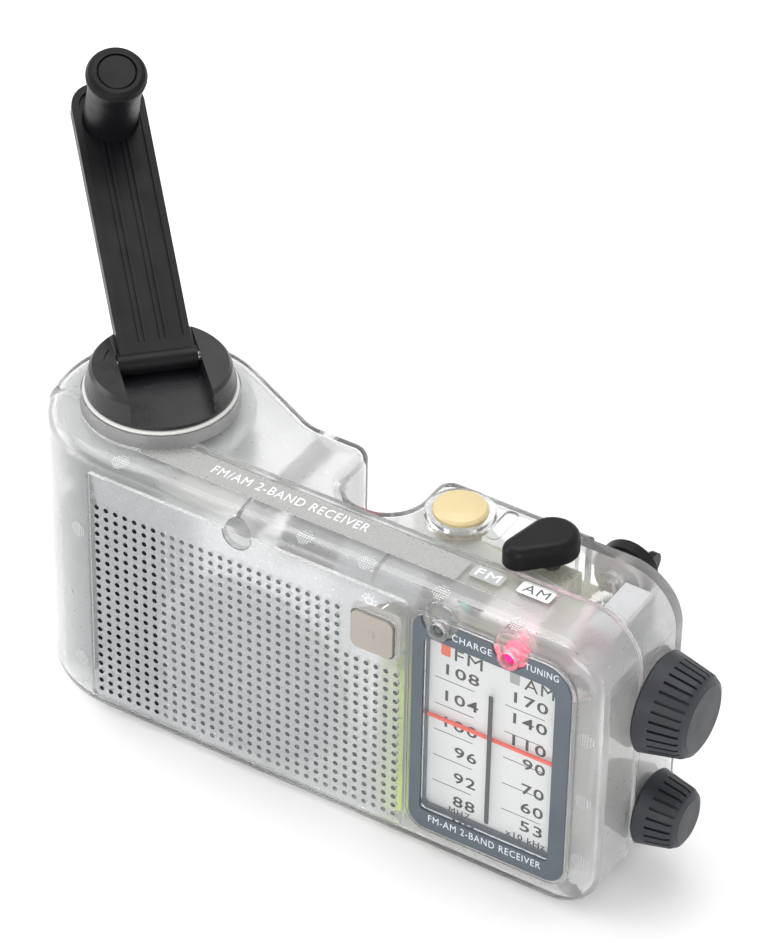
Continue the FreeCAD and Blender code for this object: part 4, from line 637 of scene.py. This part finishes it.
def wiring():
    """Insulated leads between the dynamo, the speaker, the boards and the cells."""
    runs = {
        "speaker_lead_red": ((-14.0, -2.0, 58.0), (-4.0, 1.0, 66.0), (12.0, -2.0, 66.5), (21.5, -3.6, 62.0)),
        "speaker_lead_black": ((-17.0, -2.0, 58.0), (-6.0, 3.0, 68.0), (12.0, 1.0, 64.5), (21.5, -3.6, 58.5)),
        "dynamo_lead_white": ((-43.0, -3.0, 12.0), (-38.0, 3.0, 5.0), (-10.0, 4.0, 3.6), (12.0, 0.0, 4.4),
                              (22.0, -2.8, 10.0)),
        "dynamo_lead_blue": ((-43.0, -1.0, 16.0), (-36.0, 5.0, 7.0), (-8.0, 6.0, 4.6), (12.0, 2.0, 5.4),
                             (22.0, -2.8, 14.0)),
        "pack_lead_green": ((27.2, -12.5, 53.6), (30.0, -10.5, 57.5), (34.0, -7.2, 56.0), (34.5, -4.4, 52.0)),
        "jack_lead_yellow": ((-73.2, 6.0, 26.0), (-67.0, 9.0, 20.0), (-66.5, 10.0, 8.0), (-40.0, 9.0, 4.2),
                             (0.0, 8.0, 4.2), (20.5, 0.0, 7.5)),
    }
    for name, points in runs.items():
        colour = name.split("_")[-1]
        piece(name, [thread(smooth_path(points, 10), 0.65, 10)], MATERIALS["lead_" + colour], smooth=True)


def springs():
    """Coiled contact springs at the cells' flat ends."""
    coils = []
    for i, z in enumerate((10.3, 24.6, 38.9)):
        at_left = i % 2 == 0
        start = 23.05 if at_left else 74.75
        step = 0.52 if at_left else -0.72
        path = []
        for k in range(73):
            angle = 2 * math.pi * k / 24
            radius = 3.9 - 0.55 * k / 24
            path.append(Vector((start + step * k / 72, 9.7 + radius * math.cos(angle),
                                z + radius * math.sin(angle))))
        coils.append(thread(path, 0.25, 6))
    piece("contact_springs", coils, MATERIALS["steel"], smooth=True)


def charge_emitter():
    """The charge lamp's own emitter, standing behind the lamp board."""
    body = lathe([(0.01, 0.0), (1.45, 0.0), (1.45, 0.7), (1.2, 0.75), (1.2, 2.2), (0.9, 2.9), (0.01, 3.2)],
                 (44.6, -14.1, 76.0), (0, 0, 1))
    piece("charge_emitter", [body], MATERIALS["teal"], smooth=True)


def dynamo_cover():
    """A ribbed dark cover beside the dynamo, seen through the left of the case."""
    left, right, low, high = -74.0, -65.3, 6.0, 62.0
    parts = [slab(round_box(left, low, right, high, 1.5), FRONTWARD, 7.5, 6.8)]
    for i in range(8):
        z = low + 4.0 + 7.0 * i
        parts.append(slab(round_box(left + 1.0, z, right - 1.0, z + 1.2, 0.5), FRONTWARD, 14.3, 0.7))
    parts.append(slab(round_box(right - 0.9, low + 2.0, right - 0.3, high - 2.0, 0.25), FRONTWARD, 14.3, 1.1))
    piece("dynamo_cover", parts, MATERIALS["housing"])


dial_printing()
case_printing()
light_marks()
knurled_marks()
wiring()
springs()
charge_emitter()
dynamo_cover()


# ---------------------------------------------------------------- stage


def area_light(name, size, power, location, target, colour=(1, 1, 1)):
    data = bpy.data.lights.new(name, "AREA")
    data.shape = "RECTANGLE"
    data.size, data.size_y = size
    data.energy = power
    data.color = colour
    lamp = bpy.data.objects.new(name, data)
    bpy.context.scene.collection.objects.link(lamp)
    lamp.location = location
    lamp.rotation_euler = (Vector(target) - Vector(location)).to_track_quat("-Z", "Y").to_euler()
    return lamp


def studio():
    mesh = bpy.data.meshes.new("floor")
    half = 4.0
    corners = [(-half, -half, 0), (half, -half, 0), (half, half, 0), (-half, half, 0)]
    mesh.from_pydata(corners, [], [(0, 1, 2, 3)])
    floor = bpy.data.objects.new("floor", mesh)
    floor.location.z = -0.0002
    bpy.context.scene.collection.objects.link(floor)
    floor.data.materials.append(plastic("pale floor", (0.93, 0.93, 0.93), 0.9, 300.0, 0.00001, 0.004))
    world = bpy.data.worlds.new("studio")
    world.use_nodes = True
    world.node_tree.nodes["Background"].inputs[0].default_value = (1.0, 1.0, 1.0, 1.0)
    world.node_tree.nodes["Background"].inputs[1].default_value = 0.85
    bpy.context.scene.world = world
    glow = bpy.data.lights.new("lamp glow", "POINT")
    glow.energy = 0.02
    glow.color = (1.0, 0.04, 0.28)
    glow.shadow_soft_size = 0.0015
    halo = bpy.data.objects.new("lamp glow", glow)
    halo.location = Vector((62.6, -13.6, 77.0)) * MM
    bpy.context.scene.collection.objects.link(halo)
    centre = Vector((0.0, 0.0, 0.06))
    area_light("overhead", (1.2, 1.2), 12.5, centre + Vector((-0.3, 0.3, 1.4)), centre)
    area_light("left softbox", (0.8, 1.2), 7.0, centre + Vector((-1.4, -0.5, 0.7)), centre)
    area_light("front softbox", (1.0, 0.6), 8.5, centre + Vector((0.7, -1.4, 0.6)), centre)
    scene = bpy.context.scene
    scene.view_settings.view_transform = "Standard"
    scene.cycles.max_bounces = 28
    scene.cycles.transmission_bounces = 28
    scene.cycles.transparent_max_bounces = 48


CAMERA_AZIMUTH = 31.09
CAMERA_ELEVATION = 38.20
CAMERA_ROLL = 1.14
CAMERA_DISTANCE = 1.1748
CAMERA_LENS = 173.3
LOOK_AT = Vector((-0.0114, 0.0393, 0.0600))


def camera():
    data = bpy.data.cameras.new("camera")
    data.lens = CAMERA_LENS
    data.sensor_width = 36.0
    lens = bpy.data.objects.new("camera", data)
    bpy.context.scene.collection.objects.link(lens)
    azimuth = math.radians(CAMERA_AZIMUTH)
    elevation = math.radians(CAMERA_ELEVATION)
    back = Vector((math.sin(azimuth) * math.cos(elevation), -math.cos(azimuth) * math.cos(elevation),
                   math.sin(elevation)))
    turn = (-back).to_track_quat("-Z", "Y").to_matrix().to_4x4()
    roll = Matrix.Rotation(math.radians(CAMERA_ROLL), 4, "Z")
    lens.matrix_world = Matrix.Translation(LOOK_AT + back * CAMERA_DISTANCE) @ turn @ roll
    bpy.context.scene.camera = lens


studio()
camera()
